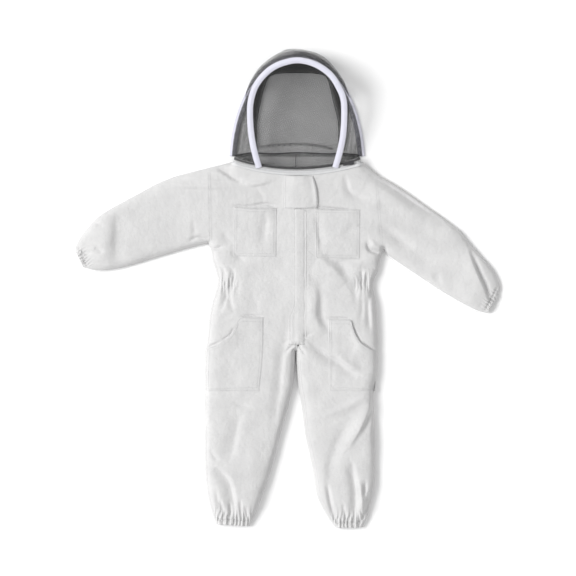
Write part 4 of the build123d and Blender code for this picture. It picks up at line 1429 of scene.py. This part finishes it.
VEIL_PANEL = [(-104, 372), (-105, 440), (-97, 492), (-83, 548), (-63, 578), (6, 584), (74, 579), (92, 562),
              (107, 500), (119, 448), (121, 372)]
PLEAT_EDGE = [(-120, 368), (-131, 430), (-135, 480), (-129, 522), (-112, 556), (-86, 584), (-48, 606),
              (6, 616), (62, 605), (100, 582), (126, 552), (143, 520), (148, 480), (145, 430), (135, 368)]


def back_veil():
    """One flat panel inside the rear hoop."""
    angles = np.linspace(REAR_FOOT_ANGLE, 90, 80)
    left = rear_hoop(180 - angles, -TAPE_HALF * 0.5, 0)[:, :2]
    right = rear_hoop(angles, -TAPE_HALF * 0.5, 0)[:, :2]
    flat = ruled(left, right, shares_of(70))
    ripple = 1.0 * MM + 0.6 * MM * value_noise(flat[..., 0], flat[..., 1], 0.06, 111)
    obj = net_object("back_veil_net", np.dstack([flat, ripple]), flip=True)
    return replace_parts(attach(obj, "hood"), "back_veil")


def pleat(name, seed, height, spread):
    """Fullness of the back veil, folded in between its middle panel and the rear hoop."""
    u = shares_of(26)
    flat = ruled(smooth(mm(VEIL_PANEL), shares_of(200)), smooth(mm(PLEAT_EDGE), shares_of(200)), u)
    waves = value_noise(flat[..., 0], flat[..., 1] * 0.45, 0.022, seed) * spread
    edge = 1.2 * MM * np.exp(-((u / 0.06) ** 2))
    z = height + waves * np.sin(np.pi * u) ** 0.7 + edge
    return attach(net_object(name, np.dstack([flat, z])), "hood")


def between_hoops(obj):
    """Bake the place of netting that runs from the rear hoop to the front one into its mesh, and fix it to no
    body.
    """
    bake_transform(obj)
    return obj


def side_veil(who):
    """Between the two hoops beside the head."""
    rows = 110
    front_a = np.linspace(FRONT_FOOT_ANGLE, 38, rows)
    rear_a = np.linspace(REAR_FOOT_ANGLE, 40, rows)
    if who == RIGHT:
        front_a, rear_a = 180 - front_a, 180 - rear_a
    front = front_hoop(front_a, TAPE_HALF * 0.5)
    rear = rear_hoop(rear_a, TAPE_HALF * 0.25, 6.8 * MM)
    u = shares_of(30)
    grid = ruled(rear, front, u)
    folds = value_noise(grid[..., 1] * 0.5, grid[..., 2] * 1.4, 0.030, 121) * 4.0 * MM
    fullness = (5.0 * MM + folds) * np.sin(np.pi * u) ** 0.9 * smoothstep(shares_of(rows), 0, 0.12)[:, None]
    grid = grid + np.array((0.6 * OUTWARD[who], 0, 0.8)) * fullness[..., None]
    for index in range(2):
        z = (6.2 + 0.7 * index) * MM
        inner, outer = (rear_hoop(rear_a, TAPE_HALF * share, z) for share in (-1.1, 0.2))
        hem = ruled(inner, outer, shares_of(6))
        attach(net_object(f"{who}_side_veil_hem_{index + 1}", hem, lean=40 + 25 * index), "hood")
    obj = net_object(f"{who}_side_veil_net", grid, flip=who == LEFT, lean=12)
    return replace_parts(between_hoops(obj), f"{who}_side_veil")


def crown_veil(name, fullness, loose, seed):
    """From the rear hoop up and over to the front hoop, standing proud behind it."""
    rows = 150
    front = front_hoop(np.linspace(36, 144, rows), TAPE_HALF * 0.5)
    rear = rear_hoop(np.linspace(38, 142, rows), TAPE_HALF * 0.5, 5.2 * MM)
    u, t = shares_of(40), shares_of(rows)[:, None]
    grid = ruled(rear, front, u)
    out = unit((grid - np.array((HOOD_X, 0.45, 0))) * (1, 1, 0))
    middle, round_it = np.sin(np.pi * t) ** 0.5, np.sin(np.pi * u)
    folds = value_noise(t * 7, u * 2.6 + t * 1.5, 1, seed) * loose
    folds += value_noise(t * 22, u[None, :] * 5, 1, seed + 1) * loose * 0.4
    grid = grid + out * ((6.0 * MM + fullness * middle) * round_it**0.8 + folds * round_it)[..., None]
    return between_hoops(net_object(name, grid, rolled=True))


face_veil()
back_veil()
pleat("veil_pleat_lower", 141, 2.4 * MM, 1.2 * MM)
pleat("veil_pleat_middle", 151, 5.0 * MM, 1.8 * MM)
pleat("veil_pleat_upper", 155, 7.6 * MM, 2.2 * MM)
for who in SIDES:
    side_veil(who)
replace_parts(crown_veil("crown_veil_net", 17 * MM, 2.0 * MM, 131), "crown_veil")
crown_veil("crown_veil_fold", 12 * MM, 4.5 * MM, 135)
crown_veil("crown_veil_inner_fold", 6 * MM, 4.5 * MM, 137)


def nape(name, height, seed, spread, reach=((-1, 1), (-1, 1))):
    """Netting at the back of the neck, from the suit's neckline up to the back veil.

    reach says how far it goes to both sides, as shares of the whole, at its lower and upper edges.
    """
    columns, up = 90, shares_of(40)
    over = np.linspace(*reach[0], columns)
    x, y = neck_xy(584 * MM, over * 17.2)
    low = np.column_stack([x, y, np.full(columns, 2.2 * MM)])
    over = np.linspace(*reach[1], columns)
    high = np.column_stack([HOOD_X + over * 170 * MM, 0.364 - 0.006 * over**2, np.full(columns, 2.0 * MM)])
    v = up[:, None, None]
    grid = low[None] * (1 - v) + high[None] * v
    rise = height + value_noise(grid[..., 0], grid[..., 1] * 0.5, 0.022, seed) * spread
    grid[..., 2] += rise * np.sin(np.pi * up)[:, None]
    obj = net_object(name, grid, lean=seed)
    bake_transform(obj)
    return obj


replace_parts(nape("nape_gusset_net", 1.0 * MM, 61, 0.8 * MM), "nape_gusset")
nape("right_nape_fold", 4.0 * MM, 24, 2.0 * MM, ((-1, -0.50), (-1, -0.72)))
nape("left_nape_fold", 4.0 * MM, 27, 2.0 * MM, ((0.45, 1), (0.74, 1)))


def veil_seam(name, points, width, thick=1.0):
    """A dark tape that covers a seam of the netting."""
    line = smooth(points, shares_of(90))
    sew(band(name, line, flat_profile(width, thick * MM, 0.3 * MM), DARK_TAPE), "hood")


def raised(points, z):
    """Places in millimetres at one height."""
    return np.column_stack([mm(points), np.full(len(points), z)])


NAPE_SEAM = [(-166, 356), (-120, 363), (-60, 361), (6, 364), (80, 361), (130, 362), (176, 357)]
veil_seam("nape_seam", raised(NAPE_SEAM, 4.4 * MM), 3.2 * MM)
veil_seam("nape_middle_seam", np.array([(3, 362, 4.2), (2, 345, 4.4), (1, 322, 4.6)]) * MM, 1.6 * MM)
veil_seam("veil_panel_hem", raised(VEIL_PANEL, 3.6 * MM), 1.8 * MM, 0.7)


def veil_strip(name, line, width, z):
    """A narrow fold of netting that lies on the back veil."""
    middle = smooth(mm(line), shares_of(90))
    flat = ruled(offset_line(middle, -width / 2), offset_line(middle, width / 2), shares_of(8))
    wave = z + 0.5 * MM * value_noise(flat[..., 0], flat[..., 1], 0.02, 161)
    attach(net_object(name, np.dstack([flat, wave]), lean=20), "hood")


VEIL_FOLD = [(-98, 380), (-50, 385), (10, 388), (60, 384), (104, 374)]
veil_strip("back_veil_lower_fold", VEIL_FOLD, 7 * MM, 3.4 * MM)


# ---------------------------------------------------------------- finishes of the CAD parts that stay
def repaint(material, *nodes):
    for node in nodes:
        for material_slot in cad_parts[node].material_slots:
            material_slot.material = material


repaint(ZIP_METAL, "main_zip_slider", "main_zip_pull", "main_zip_stops")
repaint(DARK_METAL, "neck_zip_slider", "neck_zip_pull")
repaint(WIRE, "rear_hoop_wire", "front_hoop_wire")


# ---------------------------------------------------------------- camera, floor and light
def make_stage():
    mesh = bpy.data.meshes.new("floor")
    reach, low = 60.0, -0.6 * MM
    corners = [(x * reach, y * reach, low) for x, y in ((-1, -1), (1, -1), (1, 1), (-1, 1))]
    mesh.from_pydata(corners, [], [(0, 1, 2, 3)])
    floor = bpy.data.objects.new("floor", mesh)
    bpy.context.scene.collection.objects.link(floor)
    mesh.materials.append(new_material("floor_paper", (0.97, 0.97, 0.97), 0.9)[0])


def far_light(name, place, strength, softness):
    """A soft light so far off that it is the same all over the floor. softness is in degrees."""
    data = bpy.data.lights.new(name, "SUN")
    data.energy = strength
    data.angle = math.radians(softness)
    lamp = bpy.data.objects.new(name, data)
    lamp.location = place
    lamp.rotation_euler = (-Vector(place)).to_track_quat("-Z", "Y").to_euler()
    bpy.context.scene.collection.objects.link(lamp)


CAMERA_HEIGHT = 16.0
VIEW_WIDTH = 1.584           # metres of floor across the picture

make_stage()
far_light("key", (-2.6, 0.35, 2.3), 2.75, 30)
far_light("fill", (1.2, -0.6, 3.0), 0.25, 60)
world = bpy.data.worlds.new("studio")
world.use_nodes = True
world.node_tree.nodes["Background"].inputs["Color"].default_value = (1, 1, 1, 1)
world.node_tree.nodes["Background"].inputs["Strength"].default_value = 0.56
bpy.context.scene.world = world
bpy.context.scene.view_settings.view_transform = "Standard"

camera_data = bpy.data.cameras.new("camera")
camera_data.sensor_width = 36
camera_data.lens = camera_data.sensor_width * CAMERA_HEIGHT / VIEW_WIDTH
camera_data.clip_end = 100
camera = bpy.data.objects.new("camera", camera_data)
camera.location = (-0.019, -0.008, CAMERA_HEIGHT)
bpy.context.scene.collection.objects.link(camera)
bpy.context.scene.camera = camera
